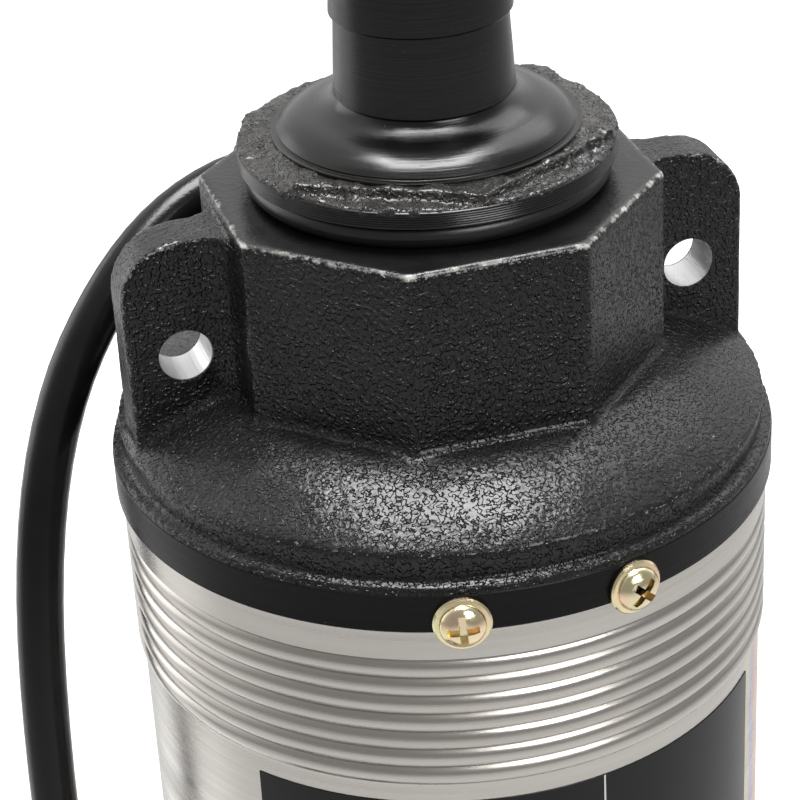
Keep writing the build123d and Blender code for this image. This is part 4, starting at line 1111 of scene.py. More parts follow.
@dataclass
class CastHead(SubAssembly):
    """The head casting: cone, eight-sided crown, lifting ears, gland boss and machined rim."""

    crown_flats: float = 62.9
    rim_radius: float = 50.0
    cone_edge: Point2 = (48.6, 5.4)
    cone_top: Point2 = (34.0, 12.7)
    ear_reach: float = 47.5
    ear_height: float = 38.2
    ear_thickness: float = 8.0
    ear_corner: float = 9.0
    ear_root: float = 4.5
    hole_x: float = 38.9
    hole_z: float = 20.25
    hole_radius: float = 4.0
    bore: float = 20.95
    voxel: float = 0.62

    def build(self) -> None:
        """Builds the casting, its rim and the bright linings of its ear holes."""
        self._casting()
        self._rim()
        self._hole_linings()

    def _casting(self) -> None:
        """Joins the cast forms, blends them as a mould does, and bores and drills them."""
        obj = self._cone()
        corner = self.crown_flats / 2 / math.cos(math.radians(22.5))
        crown = cylinder("crown", corner, RIM_Z + 4, CROWN_Z, 8, 22.5)
        gather(obj, crown)
        for side in (-1, 1):
            gather(obj, self._ear(side))
        gather(obj, self._gland_boss())
        obj.name = "head_casting_skin"
        fuse(obj, self.voxel, 1)
        mark_edges(obj)
        spots = positions(obj)
        rough = np.clip((CROWN_Z - 0.6 - spots[:, 2]) / 0.6, 0, 1)
        rough *= np.clip((spots[:, 2] - RIM_Z + 0.2) / 0.6, 0, 1)
        weights(obj, "rough", rough)
        roughen(obj, "rough", 7.0, 0.2)
        roughen(obj, "rough", 1.2, 0.07)
        tools = [cylinder("bore", self.bore, RIM_Z - 10, CROWN_Z + 2, 96)]
        tools += [bar("drill", self.hole_radius, 40, (x, 0, RIM_Z + self.hole_z), (0, 1, 0))
                  for x in (-self.hole_x, self.hole_x)]
        for tool in tools:
            combine(obj, tool, "DIFFERENCE", "MANIFOLD")
        only(obj)
        bpy.ops.object.shade_smooth_by_angle(angle=math.radians(50))
        self.place(obj, PAINT_CAST, CASTING_SLOT, "head_casting")

    def _cone(self) -> bpy.types.Object:
        """Turns the cone with its steep edge and rough lip, down to the rim's foot.

        Returns:
            The cone.
        """
        low = RIM_Z - RIM_HEIGHT + 0.4
        edge = (self.cone_edge[0], RIM_Z + self.cone_edge[1])
        top = (self.cone_top[0], RIM_Z + self.cone_top[1])
        lip = (self.rim_radius - 0.15, RIM_Z + 0.95)
        middle = ((edge[0] + top[0]) / 2 + 0.3, (edge[1] + top[1]) / 2 + 0.6)
        points = [(0, low), (self.rim_radius - 0.5, low), (self.rim_radius - 0.1, RIM_Z)]
        points += [lip, (edge[0] - 0.5, RIM_Z + 1.15), edge]
        points += arc(edge, middle, top, 6) + [(0, top[1])]
        obj = turned("cone", points, 160)
        tidy(obj)
        return obj

    def _ear(self, side: int) -> bpy.types.Object:
        """Builds one lifting ear with its rounded corner and cast root.

        Args:
            side: 1 for the right ear, -1 for the left one.

        Returns:
            The ear, ready to be joined to the crown.
        """
        flat = self.crown_flats / 2
        inner = flat - 4
        low = RIM_Z + 2
        high = RIM_Z + self.ear_height
        plate = block("ear", (self.ear_reach - inner, self.ear_thickness, high - low),
                      ((self.ear_reach + inner) / 2, 0, (low + high) / 2))
        edit(plate)
        pick_edges(plate, lambda a, b: min(a.x, b.x) > flat and min(a.z, b.z) > high - 1)
        bpy.ops.mesh.bevel(offset=self.ear_corner * MM, segments=8)
        close_edit()
        half = self.ear_thickness / 2
        root = block("root", (self.ear_root + 4, 2 * (half + self.ear_root), high - low),
                     (flat + self.ear_root - (self.ear_root + 4) / 2, 0, (low + high) / 2))
        for y in (-1, 1):
            round_off = bar("round_off", self.ear_root, 60,
                            (flat + self.ear_root, y * (half + self.ear_root), (low + high) / 2),
                            (0, 0, 1))
            combine(root, round_off, "DIFFERENCE")
        gather(plate, root)
        if side < 0:
            swing(plate, 180.0, "Z")
        return plate

    def _gland_boss(self) -> bpy.types.Object:
        """Builds the boss behind the crown that carries the cable gland, with its web.

        Returns:
            The boss and its web, ready to be joined to the crown.
        """
        length = 12
        axis = gland_axis()
        boss = bar("boss", 7.8, length, Vector(GLAND_FACE) - axis * (length / 2), axis, 64)
        gather(boss, block("web", (10.5, 18, 24), (13.2, 38, RIM_Z + 16)))
        return boss

    def _rim(self) -> None:
        """Builds the machined black band under the cone."""
        low = RIM_Z - RIM_HEIGHT
        outer = self.rim_radius
        points = [
            (outer - 3.2, low), (outer - 0.2, low), (outer, low + 0.2), (outer, RIM_Z - 0.25),
            (outer - 0.25, RIM_Z + 0.02), (outer - 1.6, RIM_Z + 0.1), (outer - 3.2, RIM_Z - 1)]
        self.place(bored_ring("head_rim", points, 192), PAINT_BAND, CASTING_SLOT)

    def _hole_linings(self) -> None:
        """Builds the bright drilled walls of the two ear holes."""
        inner, outer = self.hole_radius - 0.06, self.hole_radius + 0.3
        half = self.ear_thickness / 2 - 0.3
        points = [(inner, -half), (inner, half), (outer, half), (outer, -half)]
        for side, name in ((-1, "left"), (1, "right")):
            lining = bored_ring(f"{name}_ear_bore", points, 64)
            swing(lining, 90.0, "X")
            lining.location = (side * self.hole_x * MM, 0, (RIM_Z + self.hole_z) * MM)
            settle(lining)
            self.place(lining, BRIGHT, CASTING_SLOT)


@dataclass
class HoseTail(SubAssembly):
    """The hose tail: grooved flange, rough hexagon, turned flare and barbs."""

    flange_radius: float = 27.5
    flange_height: float = 2.9
    hexagon: float = 47.0
    hexagon_height: float = 1.3
    flare_radius: float = 21.5
    shoulder_radius: float = 17.0
    spigot_radius: float = 20.9
    spigot_depth: float = 19.0
    throat_radius: float = 16.0
    neck_radius: float = 12.6
    barb_radius: float = 13.1
    barb_taper: float = 0.65
    barb_pitch: float = 12.0
    barbs: int = 4
    bore: float = 10.0
    grooves: int = 6
    voxel: float = 0.45

    def build(self) -> None:
        """Builds the flange's rim, its rough top and the turned nozzle."""
        self._flange_rim()
        self._flange_top()
        self._nozzle()

    def _flange_rim(self) -> None:
        """Builds the flange's turned edge with its fine grooves."""
        outer = self.flange_radius
        low = FLANGE_Z
        high = FLANGE_Z + self.flange_height - 0.35
        points = [(outer - 5, low), (outer - 0.2, low), (outer, low + 0.15)]
        pitch = (high - low - 0.5) / self.grooves
        for i in range(self.grooves):
            z = low + 0.3 + pitch * i
            points += [(outer, z), (outer - 0.09, z + pitch * 0.35), (outer, z + pitch * 0.7)]
        points += [(outer, high - 0.1), (outer - 0.15, high), (outer - 5, high)]
        self.place(bored_ring("flange_rim", points, 160), PAINT_TURNED,
                   CASTING_SLOT, "hose_tail")

    def _flange_top(self) -> None:
        """Builds the flange's rough cast top with its low, worn hexagon."""
        low = FLANGE_Z + 0.8
        top = FLANGE_Z + self.flange_height
        obj = cylinder("flange_top", self.flange_radius - 0.1, low, top, 128)
        corner = self.hexagon / 2 / math.cos(math.radians(30))
        crown = cylinder("hexagon", corner, low + 0.2, top + self.hexagon_height, 6, 0)
        gather(obj, crown)
        fuse(obj, self.voxel, 2)
        mark_edges(obj)
        spots = positions(obj)
        weights(obj, "rough", np.clip((spots[:, 2] - low - 0.9) / 0.8, 0, 1))
        roughen(obj, "rough", 2.4, 1.0)
        roughen(obj, "rough", 0.9, 0.4)
        only(obj)
        bpy.ops.object.shade_smooth()
        self.place(obj, PAINT_FLANGE, CASTING_SLOT, "hose_tail")

    def _nozzle(self) -> None:
        """Builds the turned flare, neck and barbs, with the bore through them."""
        base = FLANGE_Z + self.flange_height + self.hexagon_height
        flare = base + 0.9
        neck = flare + 4.4
        foot = CROWN_Z - self.spigot_depth
        outer = self.flare_radius
        points = [
            (self.spigot_radius, foot), (self.spigot_radius, FLANGE_Z + 1),
            (outer + 0.9, FLANGE_Z + 1),
            (outer + 0.9, base + 0.3), (outer + 0.8, base + 0.4), (outer + 0.1, base + 0.42),
            (outer, base + 0.5), (outer, flare - 0.15), (outer - 0.15, flare)]
        middle = self.shoulder_radius
        shoulder = (middle, flare + 2.3)
        points += arc(points[-1], ((outer + middle) / 2 + 0.3, flare + 1.45), shoulder, 8)
        root = (self.neck_radius + 0.1, neck)
        points += arc(shoulder, ((middle + root[0]) / 2 - 0.6, flare + 3.05), root, 8)
        z = neck + 0.2
        small = self.barb_radius - self.barb_taper
        for _ in range(self.barbs):
            points += [(self.barb_radius - 0.25, z), (self.barb_radius, z + 0.3)]
            z += self.barb_pitch
            points.append((small, z - 0.05))
        points[-1] = (small - 0.5, z)
        points += [(self.bore + 0.4, z), (self.bore, z - 0.4), (self.bore, neck),
                   (self.throat_radius, FLANGE_Z), (self.throat_radius, foot)]
        self.place(bored_ring("hose_nozzle", points, 160), PAINT_TURNED,
                   CASTING_SLOT, "hose_tail")


@dataclass
class RolledShell(SubAssembly):
    """The rolled steel shell with its ribs, and the bare label on it."""

    band_radius: float = 49.2
    tube_radius: float = 48.5
    root_radius: float = 48.6
    wall: float = 0.8
    low: float = SHELL_LOW
    high: float = 416.35
    band: float = 5.45
    ribs: int = 7
    pitch: float = 3.06
    groove: float = 0.62
    label_low: float = 268.0
    label_high: float = 386.3
    label_from: float = -143.0
    label_to: float = -40.0
    rule_from: float = -80.4
    rule_sweep: float = 0.35

    def build(self) -> None:
        """Builds the shell and the label film."""
        self._shell()
        self._label()

    def _rolled_end(self, end: float, way: int) -> list[Point2]:
        """Lays out one rolled end, from the free edge to the plain tube.

        Args:
            end: the height of the free edge.
            way: 1 going up from it, -1 going down.

        Returns:
            The outline's points.
        """
        outer = self.band_radius
        z = end + way * self.band
        points = [(outer - 0.1, end), (outer, end + way * 0.1),
                  (outer, z - way * 0.5), (outer - 0.25, z - way * 0.12),
                  (self.root_radius, z)]
        for _ in range(self.ribs):
            near = z + way * self.groove
            far = z + way * (self.pitch - self.groove)
            points += arc((self.root_radius, z), (outer - 0.32, z + way * self.groove * 0.45),
                          (outer - 0.12, near), 3)
            points += arc(points[-1], (outer + 0.05, (near + far) / 2), (outer - 0.12, far), 5)
            points += arc(points[-1], (outer - 0.32, far + way * self.groove * 0.55),
                          (self.root_radius, z + way * self.pitch), 3)
            z += way * self.pitch
        points.append((self.tube_radius, z + way * 0.7))
        return points

    def _shell(self) -> None:
        """Builds the shell itself, rolled at both ends."""
        outside = self._rolled_end(self.low, 1)
        outside += [(self.tube_radius, z) for z in (150.0, 250.0, 330.0)]
        outside += list(reversed(self._rolled_end(self.high, -1)))
        inside = [(r - self.wall, z) for r, z in reversed(outside)]
        obj = bored_ring("rolled_shell", outside + inside, 192)
        self.place(obj, STEEL_SHELL, "stainless", "outer_shell")
        self._heat_tint(self.shop.material(STEEL_SHELL))

    def _heat_tint(self, material: bpy.types.Material) -> None:
        """Adds the rainbow that the weld left down the shell's seam.

        Args:
            material: the shell's material.
        """
        tree = material.node_tree
        shader = tree.nodes["Principled BSDF"]
        coords = tree.nodes.new("ShaderNodeTexCoord").outputs["Object"]
        place = split(tree, coords)
        angle = math_node(tree, "ARCTAN2", place["Y"], place["X"])
        ripple = math_node(tree, "MULTIPLY", noise(tree, coords, 90.0, 3.0, 0.6), 0.12)
        wavy = math_node(tree, "ADD", angle, ripple)
        away = math_node(tree, "ABSOLUTE", math_node(tree, "ADD", wavy, SEAM_ANGLE))
        tint = ramp(tree, math_node(tree, "DIVIDE", away, SEAM_WIDTH), SEAM_COLOURS)
        near = ranged(tree, away, SEAM_WIDTH + 0.02, SEAM_WIDTH - 0.02)
        plain = ranged(tree, place["Z"], (self.high - 26.0) * MM, (self.high - 29.0) * MM)
        share = math_node(tree, "MULTIPLY", near, plain)
        before = shader.inputs["Base Color"].links[0].from_socket
        tree.links.new(mix_colour(tree, share, before, tint), shader.inputs["Base Color"])

    def _label(self) -> None:
        """Builds the dark label film, bare but for one thin ruled line."""
        radius = self.tube_radius + 0.04
        points = [(radius, self.label_low), (radius, self.label_high)]
        film = turned("label_film", points, 96, self.label_to - self.label_from, self.label_to)
        self._film(film, 0.14)
        self.place(film, LABEL, "stainless")
        over = radius + 0.16
        points = [(over, self.label_low + 6), (over, self.label_high)]
        rule = turned("label_rule", points, 2, self.rule_sweep, self.rule_from)
        self._film(rule, 0.03)
        self.place(rule, LABEL_WHITE, "stainless")

    def _film(self, obj: bpy.types.Object, thickness: float) -> None:
        """Gives a curved sheet its thickness and tidies it.

        Args:
            obj: the sheet.
            thickness: its thickness.
        """
        clean(obj)
        step = obj.modifiers.new("thickness", "SOLIDIFY")
        step.thickness = thickness * MM
        step.offset = 0.0
        apply_all(obj)
        tidy(obj)


@dataclass
class Screws(SubAssembly):
    """Cross-recessed screws with washer heads, at the shell's two edges and round the strainer."""

    washer: float = 4.15
    dome: float = 3.15
    shank: float = 1.6
    length: float = 7.0
    height: float = 2.9
    recess: float = 5.6
    width: float = 1.3
    spread: float = 14.5
    inset: float = 4.4
    rim_seat: float = 50.0
    strainer_seat: float = 46.5
    strainer_rows: Point2 = (12.5, 53.5)

    def build(self) -> None:
        """Builds one screw and copies it to every hole."""
        master = self._screw()
        rows = (RIM_Z - self.inset, SHELL_LOW - RIM_HEIGHT + self.inset)
        pairs = [(side + step, z, self.rim_seat) for z in rows for side in (-90.0, 90.0)
                 for step in (-self.spread, self.spread)]
        self._copies(master, pairs, "shell_screws")
        ring = [(45.0 + 90.0 * i, z, self.strainer_seat) for z in self.strainer_rows
                for i in range(4)]
        self._copies(master, ring, "strainer_screws")
        bpy.data.objects.remove(master)

    def _screw(self) -> bpy.types.Object:
        """Builds one screw along the pump's axis, head up, its seat at the floor.

        Returns:
            The screw.
        """
        points = [(0, -self.length), (self.shank * 0.6, -self.length),
                  (self.shank, -self.length + 0.9), (self.shank, 0), (self.washer - 0.2, 0),
                  (self.washer, 0.2), (self.washer, 0.55), (self.washer - 0.25, 0.85),
                  (self.dome + 0.2, 0.95)]
        points += arc(points[-1], (self.dome - 0.2, 1.9), (1.6, self.height - 0.15), 6)
        points += [(0, self.height)]
        obj = turned("screw", points, 48)
        tidy(obj)
        for turn in (0.0, 90.0):
            tool = block("driver", (self.recess, self.width, 3.4), (0, 0, self.height))
            edit(tool)
            pick_edges(tool, lambda a, b: max(a.z, b.z) < self.height)
            bpy.ops.transform.resize(value=(0.7, 0.7, 1.0))
            close_edit()
            swing(tool, turn, "Z")
            combine(obj, tool, "DIFFERENCE")
        tidy(obj, 28.0)
        return obj

    def _copies(self, master: bpy.types.Object, places: Sequence[Point3], node: str) -> None:
        """Copies the screw to its holes.

        Args:
            master: the screw.
            places: turn, height and seat radius of each hole.
            node: the CAD node of these screws.
        """
        for i, (turn, z, seat) in enumerate(places):
            obj = own_copy(master, f"{node}_{i + 1}")
            spin = Matrix.Rotation(math.radians(turn), 4, "Z")
            lie = Matrix.Rotation(math.radians(90), 4, "Y")
            own = Matrix.Rotation(math.radians(4.0 + 43.0 * i), 4, "Z")
            obj.data.transform(spin @ Matrix.Translation((seat * MM, 0, z * MM)) @ lie @ own)
            self.place(obj, ZINC, "zinc_screw", node)


@dataclass
class CableSet(SubAssembly):
    """The cable from the gland to its plug, with its boot, stored coil, ties and plug."""

    radius: float = 3.75
    coil_x: float = -155.2
    coil_r: float = 57.0
    column: float = 7.6
    row: float = 7.53
    layers: int = 6
    climb: float = 0.25
    first_turn: float = 42.2
    last_turn: float = -85.0
    laps: int = 25
    points_each: int = 24
    length: float = 9.7
    boot_length: float = 21.0
    boot_ribs: float = 6.75
    pin_x: float = 9.5
    tie_angles: Point3 = (120.0, 215.0, 320.0)
    tie_width: float = 9.0
    tie_wall: float = 1.1
    tie_corner: float = 4.6
    nut_flats: float = 15.0
    drop: tuple[Point3, ...] = (
        (2.0228, 39.5, 450.0229), (-14.4144, 39.5, 451.461), (-30.5, 35.6, 448.5),
        (-44.0, 28.5, 439.8), (-55.5, 22.5, 423.5), (-62.5, 16.2, 398.5),
        (-65.3, 11.2, 361.0), (-65.0, 8.5, 311.0), (-65.8, 8.9, 233.0), (-66.3, 9.9, 150.0),
        (-66.5, 10.0, 108.0), (-66.6, 10.2, 72.0), (-74.0, 18.4, 53.0), (-86.8, 32.4, 42.6))
    tail: tuple[Point3, ...] = (
        (-133.0, -70.8, 4.0), (-118.0, -69.5, 6.7), (-103.0, -68.2, 9.9))

    def build(self) -> None:
        """Builds the cable, then what sits on it."""
        cable = self._cable()
        line = self._centre_line(cable)
        boot = self._boot(line)
        plug = self._plug()
        pins = self._pins()
        ties = self._ties()
        nut = self._gland_nut()
        self.place(cable, CABLE_RUBBER, "cable_rubber", "cable_drop", "cable_coil", "cable_tail")
        self.place(boot, CABLE_RUBBER, "cable_rubber", "cable_boot")
        self.place(plug, CABLE_RUBBER, "plug_rubber", "plug_body")
        self.place(pins, PIN_METAL, "pin_metal", "plug_pins")
        for tie in ties:
            self.place(tie, TIE, "tie_plastic", "coil_ties")
        self.place(nut, BLACK_PLASTIC, "gland_plastic", "gland_nut")

    def _turns(self) -> list[Point3]:
        """Lays out the stored coil, spiralling in and out through its layers, top to bottom.

        Returns:
            The points along it.
        """
        whole = self.last_turn % 360.0 - self.first_turn + 360.0 * self.laps
        each = (whole / 360.0 - self.climb * (self.layers - 1)) / self.layers
        outer = self.coil_r + self.column * each / 2
        span = each + self.climb
        grow = 1.0 / math.cos(math.pi / self.points_each)
        count = round(whole / 360.0 * self.points_each)
        points = []
        for i in range(count + 1):
            lap = whole / 360.0 * i / count
            layer = min(int(lap / span), self.layers - 1)
            along = lap - layer * span
            inward = min(along, each) * self.column
            r = outer - inward if layer % 2 == 0 else outer - each * self.column + inward
            drop = max(along - each, 0.0) / self.climb
            level = self.layers - 1 - layer - drop * drop * (3 - 2 * drop)
            angle = math.radians(self.first_turn + 360.0 * lap)
            points.append((self.coil_x + r * grow * math.cos(angle), r * grow * math.sin(angle),
                           self.radius + 0.6 + self.row * level))
        return points

    def _cable(self) -> bpy.types.Object:
        """Builds the whole cable as one smooth curve.

        Returns:
            The cable.
        """
        route = [*self.drop, *self._turns(), *self.tail]
        curve = bpy.data.curves.new("cable", "CURVE")
        curve.dimensions = "3D"
        curve.resolution_u = 5
        curve.bevel_depth = self.radius * MM
        curve.bevel_resolution = 5
        curve.use_fill_caps = True
        spline = curve.splines.new("NURBS")
        spline.points.add(len(route) - 1)
        for point, place in zip(spline.points, route):
            point.co = (*(c * MM for c in place), 1.0)
        spline.order_u = 3
        spline.use_endpoint_u = True
        obj = bpy.data.objects.new("cable", curve)
        bpy.context.scene.collection.objects.link(obj)
        return obj

    def _centre_line(self, cable: bpy.types.Object) -> list[Vector]:
        """Finds the points along the cable's smooth line.

        Args:
            cable: the cable.

        Returns:
            The points, in millimetres.
        """
        bare = own_copy(cable, "bare_line")
        bare.data.bevel_depth = 0.0
        bare.data.resolution_u = 12
        bpy.context.view_layer.update()
        mesh = bpy.data.meshes.new_from_object(bare)
        line = [v.co / MM for v in mesh.vertices]
        bpy.data.objects.remove(bare)
        return line

    def _boot(self, line: Sequence[Vector]) -> bpy.types.Object:
        """Builds the ribbed, tapered boot round the cable's first stretch.

        Args:
            line: the cable's line.

        Returns:
            The boot.
        """
        profile = self._boot_profile()
        nothing_selected()
        bpy.ops.mesh.primitive_circle_add(vertices=32, radius=MM)
        obj = bpy.context.object
        obj.name = "cable_boot_skin"
        edit(obj)
        for _ in profile[1:]:
            bpy.ops.mesh.extrude_region_move(TRANSFORM_OT_translate={"value": (0, 0, MM)})
        bpy.ops.mesh.select_all(action="DESELECT")
        close_edit()
        marks = np.cumsum([0.0] + [(b - a).length for a, b in zip(line, line[1:])])
        for vertex in obj.data.vertices:
            along, radius = profile[round(vertex.co.z / MM)]
            n = int(np.searchsorted(marks[:-1], along, side="right")) - 1
            share = (along - marks[n]) / (marks[n + 1] - marks[n])
            centre = line[n].lerp(line[n + 1], share)
            ahead = (line[min(n + 2, len(line) - 1)] - line[max(n - 1, 0)]).normalized()
            side = ahead.cross(Vector((0, 0, 1))).normalized()
            spin = math.atan2(vertex.co.y, vertex.co.x)
            out = side * math.cos(spin) + side.cross(ahead) * math.sin(spin)
            vertex.co = (centre + out * radius) * MM
        edit(obj)
        bpy.ops.mesh.select_all(action="DESELECT")
        bpy.ops.mesh.select_non_manifold()
        bpy.ops.mesh.edge_face_add()
        close_edit()
        tidy(obj, 50.0)
        return obj

    def _boot_profile(self) -> list[Point2]:
        """Lays out the boot's outline, with its ribs.

        Returns:
            Distances along the cable and the radii there.
        """
        profile = []
        for i in range(41):
            share = i / 40
            ribbed = 0.12 < share < 0.92 and (share * self.boot_ribs) % 1.0 < 0.38
            groove = 0.45 if ribbed else 0.0
            profile.append((share * self.boot_length, 6.0 - 1.35 * share - groove))
        profile[0] = (0.0, 5.6)
        profile.append((self.boot_length + 0.3, self.radius + 0.02))
        return profile

    def _plug_frame(self) -> Matrix:
        """Finds where the plug lies.

        Returns:
            The move that takes it there from its own frame, cable end at the origin and along Z.
        """
        end = Vector(self.tail[-1])
        way = (end - Vector(self.tail[-2])).normalized()
        side = Vector((0, 0, 1)).cross(way).normalized()
        up = way.cross(side)
        turn = Matrix((side, up, way)).transposed().to_4x4()
        return Matrix.Translation(end * MM) @ turn

    def _plug(self) -> bpy.types.Object:
        """Builds the moulded plug with its ribbed tail, grip and earth notches.

        Returns:
            The plug.
        """
        points = [(0, -2), (4.6, -2)]
        for i in range(6):
            z = i * 3.2
            r = 5.2 + 0.3 * i
            points += [(r, z), (r, z + 1.9), (r - 0.8, z + 2.1), (r - 0.7, z + 3.0)]
        points += [(7.2, 20.0)] + arc((7.2, 20.0), (12.0, 26.0), (13.2, 33.0), 6)
        points += arc((13.2, 33.0), (15.0, 38.5), (18.4, 42.0), 5)
        points += [(19.0, 43.0), (19.0, 54.6), (18.6, 55.6), (17.8, 56.0), (16.5, 56.0),
                   (16.3, 55.4), (0, 55.4)]
        obj = turned("plug_skin", points, 96)
        tidy(obj)
        for side in (-1, 1):
            notch = block("notch", (7.0, 8.0, 24.0), (0, side * 20.5, 57.0))
            combine(obj, notch, "DIFFERENCE")
        tidy(obj, 35.0)
        obj.data.transform(self._plug_frame())
        return obj

    def _pins(self) -> bpy.types.Object:
        """Builds the plug's two round pins.

        Returns:
            Both pins as one object.
        """
        points = [(0, 50.0), (2.4, 50.0), (2.4, 73.0), (2.1, 74.3)]
        points += arc((2.1, 74.3), (1.5, 74.9), (0, 75.1), 4)
        first = turned("plug_pins_skin", points, 32)
        tidy(first)
        second = own_copy(first, "second_pin")
        for pin, side in ((first, 1), (second, -1)):
            pin.data.transform(Matrix.Translation((side * self.pin_x * MM, 0, 0)))
        gather(first, second)
        first.data.transform(self._plug_frame())
        return first

    def _ties(self) -> list[bpy.types.Object]:
        """Builds the bands round the coil, each with its lock.

        Returns:
            The bands.
        """
        half = self.column * 2.035 + self.radius + 0.5
        top = 2 * self.radius + self.row * (self.layers - 1) + 0.6 + 0.7
        ties = []
        for i, angle in enumerate(self.tie_angles):
            band = self._band(f"coil_tie_{i + 1}", half, top)
            turn = Matrix.Rotation(math.radians(angle), 4, "Z")
            band.data.transform(Matrix.Translation((self.coil_x * MM, 0, 0)) @ turn
                                @ Matrix.Translation((self.coil_r * MM, 0, 0)))
            ties.append(band)
        return ties

    def _band(self, name: str, half: float, top: float) -> bpy.types.Object:
        """Builds one band that stands on the floor, with its lock.

        Args:
            name: the band's name.
            half: half its width across the turns.
            top: its height.

        Returns:
            The band.
        """
        obj = block(name, (2 * half, self.tie_width, top), (0, 0, top / 2))
        edit(obj)
        pick_edges(obj, lambda a, b: abs(a.y - b.y) > 1)
        bpy.ops.mesh.bevel(offset=self.tie_corner * MM, segments=6)
        bpy.ops.mesh.select_all(action="DESELECT")
        bpy.ops.mesh.select_mode(type="FACE")
        close_edit()
        for face in obj.data.polygons:
            face.select = abs(face.normal.y) > 0.9
        bpy.ops.object.mode_set(mode="EDIT")
        bpy.ops.mesh.delete(type="FACE")
        close_edit()
        wall = obj.modifiers.new("wall", "SOLIDIFY")
        wall.thickness = self.tie_wall * MM
        wall.offset = -1.0
        soft = obj.modifiers.new("soft", "BEVEL")
        soft.width = 0.25 * MM
        soft.segments = 2
        apply_all(obj)
        lock = block("lock", (9.0, self.tie_width + 3, 4.2), (half * 0.35, 0, top + 0.6))
        edit(lock)
        bpy.ops.mesh.bevel(offset=0.9 * MM, segments=3)
        close_edit()
        combine(obj, lock, "UNION")
        tidy(obj)
        return obj

    def _gland_nut(self) -> bpy.types.Object:
        """Builds the hollow hexagon nut that squeezes the gland's bush.

        Returns:
            The nut.
        """
        corner = self.nut_flats / 2 / math.cos(math.radians(30))
        obj = cylinder("gland_nut_skin", corner, 0, 6, 6, 0)
        collar = cylinder("collar", 8.0, -0.1, 1.2, 64)
        dome = turned("dome", [(0, -0.5), (8.6, -0.5), (8.6, 4.6), (7.3, 6.0), (0, 6.0)], 64)
        tidy(dome)
        combine(obj, dome, "INTERSECT")
        combine(obj, collar, "UNION")
        combine(obj, cylinder("shank", 5.4, -4.5, 0.5, 48), "UNION")
        combine(obj, cylinder("hole", self.radius + 0.2, -6, 8, 48), "DIFFERENCE")
        tidy(obj)
        axis = gland_axis()
        side = Vector((0, 1, 0))
        turn = Matrix((axis.cross(side) * -1, side, axis)).transposed().to_4x4()
        obj.data.transform(Matrix.Translation(Vector(GLAND_FACE) * MM) @ turn)
        tidy(obj)
        return obj


@dataclass
class CarriedNodes(SubAssembly):
    """The CAD nodes that stay as they are and only get their finish."""

    finishes: dict[str, Finish] = field(default_factory=lambda: {
        "foot": BLACK_PLASTIC, "strainer": STEEL_INNER, "inlet_body": PAINT_CAST,
        "inlet_seal_ring": RING_RUBBER, "head_seal_ring": RING_RUBBER, "guide_bush": BRONZE,
        "impeller_nut": GROUND_STEEL, "shaft": GROUND_STEEL, "seal_bracket": PAINT_CAST,
        "seal_seat": CERAMIC, "seal_head": CARBON, "seal_spring": GROUND_STEEL,
        "lower_bearing_bracket": PAINT_CAST, "upper_bearing_bracket": PAINT_CAST,
        "stator_core": SHEETS, "rotor_core": SHEETS, "stator_winding": COPPER,
        "capacitor": CAPACITOR_SHELL, "motor_can": STEEL_INNER, "motor_lid": STEEL_INNER,
        "motor_lid_ring": RING_RUBBER, "gland_bush": RING_RUBBER,
        "outlet_seal_ring": RING_RUBBER})
    starts: dict[str, Finish] = field(default_factory=lambda: {
        "stage_": STAGE_PLASTIC, "impeller_": IMPELLER_PLASTIC, "lower_bearing_": GROUND_STEEL,
        "upper_bearing_": GROUND_STEEL})

    def dress_all(self, nodes: dict[str, bpy.types.Object]) -> None:
        """Gives every shown CAD node a finish.

        Args:
            nodes: the CAD nodes by name.
        """
        for name in sorted(nodes):
            node = nodes[name]
            if node.hide_render:
                continue
            finish = self.finishes.get(name)
            if finish is None:
                finish = next((f for start, f in self.starts.items() if name.startswith(start)),
                              BLACK_PLASTIC)
            self.shop.dress(node, finish)
            self.pieces.append(node)


# Studio


def rays(tree: bpy.types.NodeTree) -> tuple[bpy.types.NodeSocket, bpy.types.NodeSocket]:
    """Tells which rays look at the background.

    Args:
        tree: the node tree.

    Returns:
        1 where it is seen straight or through glass, and 1 where a gloss mirrors it.
    """
    path = tree.nodes.new("ShaderNodeLightPath").outputs
    straight = math_node(tree, "MAXIMUM", path["Is Camera Ray"], path["Is Transmission Ray"])
    return straight, path["Is Glossy Ray"]


@dataclass(frozen=True)
class Lamp:
    """One soft square lamp that faces the pump's head.

    Attributes:
        name: the lamp's name.
        place: where it hangs, in metres.
        size: its side in metres.
        power: its power in watts.
    """

    name: str
    place: Point3
    size: float
    power: float

    def build(self) -> None:
        """Hangs the lamp and turns it to the pump's head."""
        light = bpy.data.lights.new(self.name, "AREA")
        light.shape = "SQUARE"
        light.size = self.size
        light.energy = self.power
        obj = bpy.data.objects.new(self.name, light)
        obj.location = self.place
        aim = Vector((0, 0, 0.38)) - Vector(self.place)
        obj.rotation_euler = aim.to_track_quat("-Z", "Y").to_euler()
        bpy.context.scene.collection.objects.link(obj)


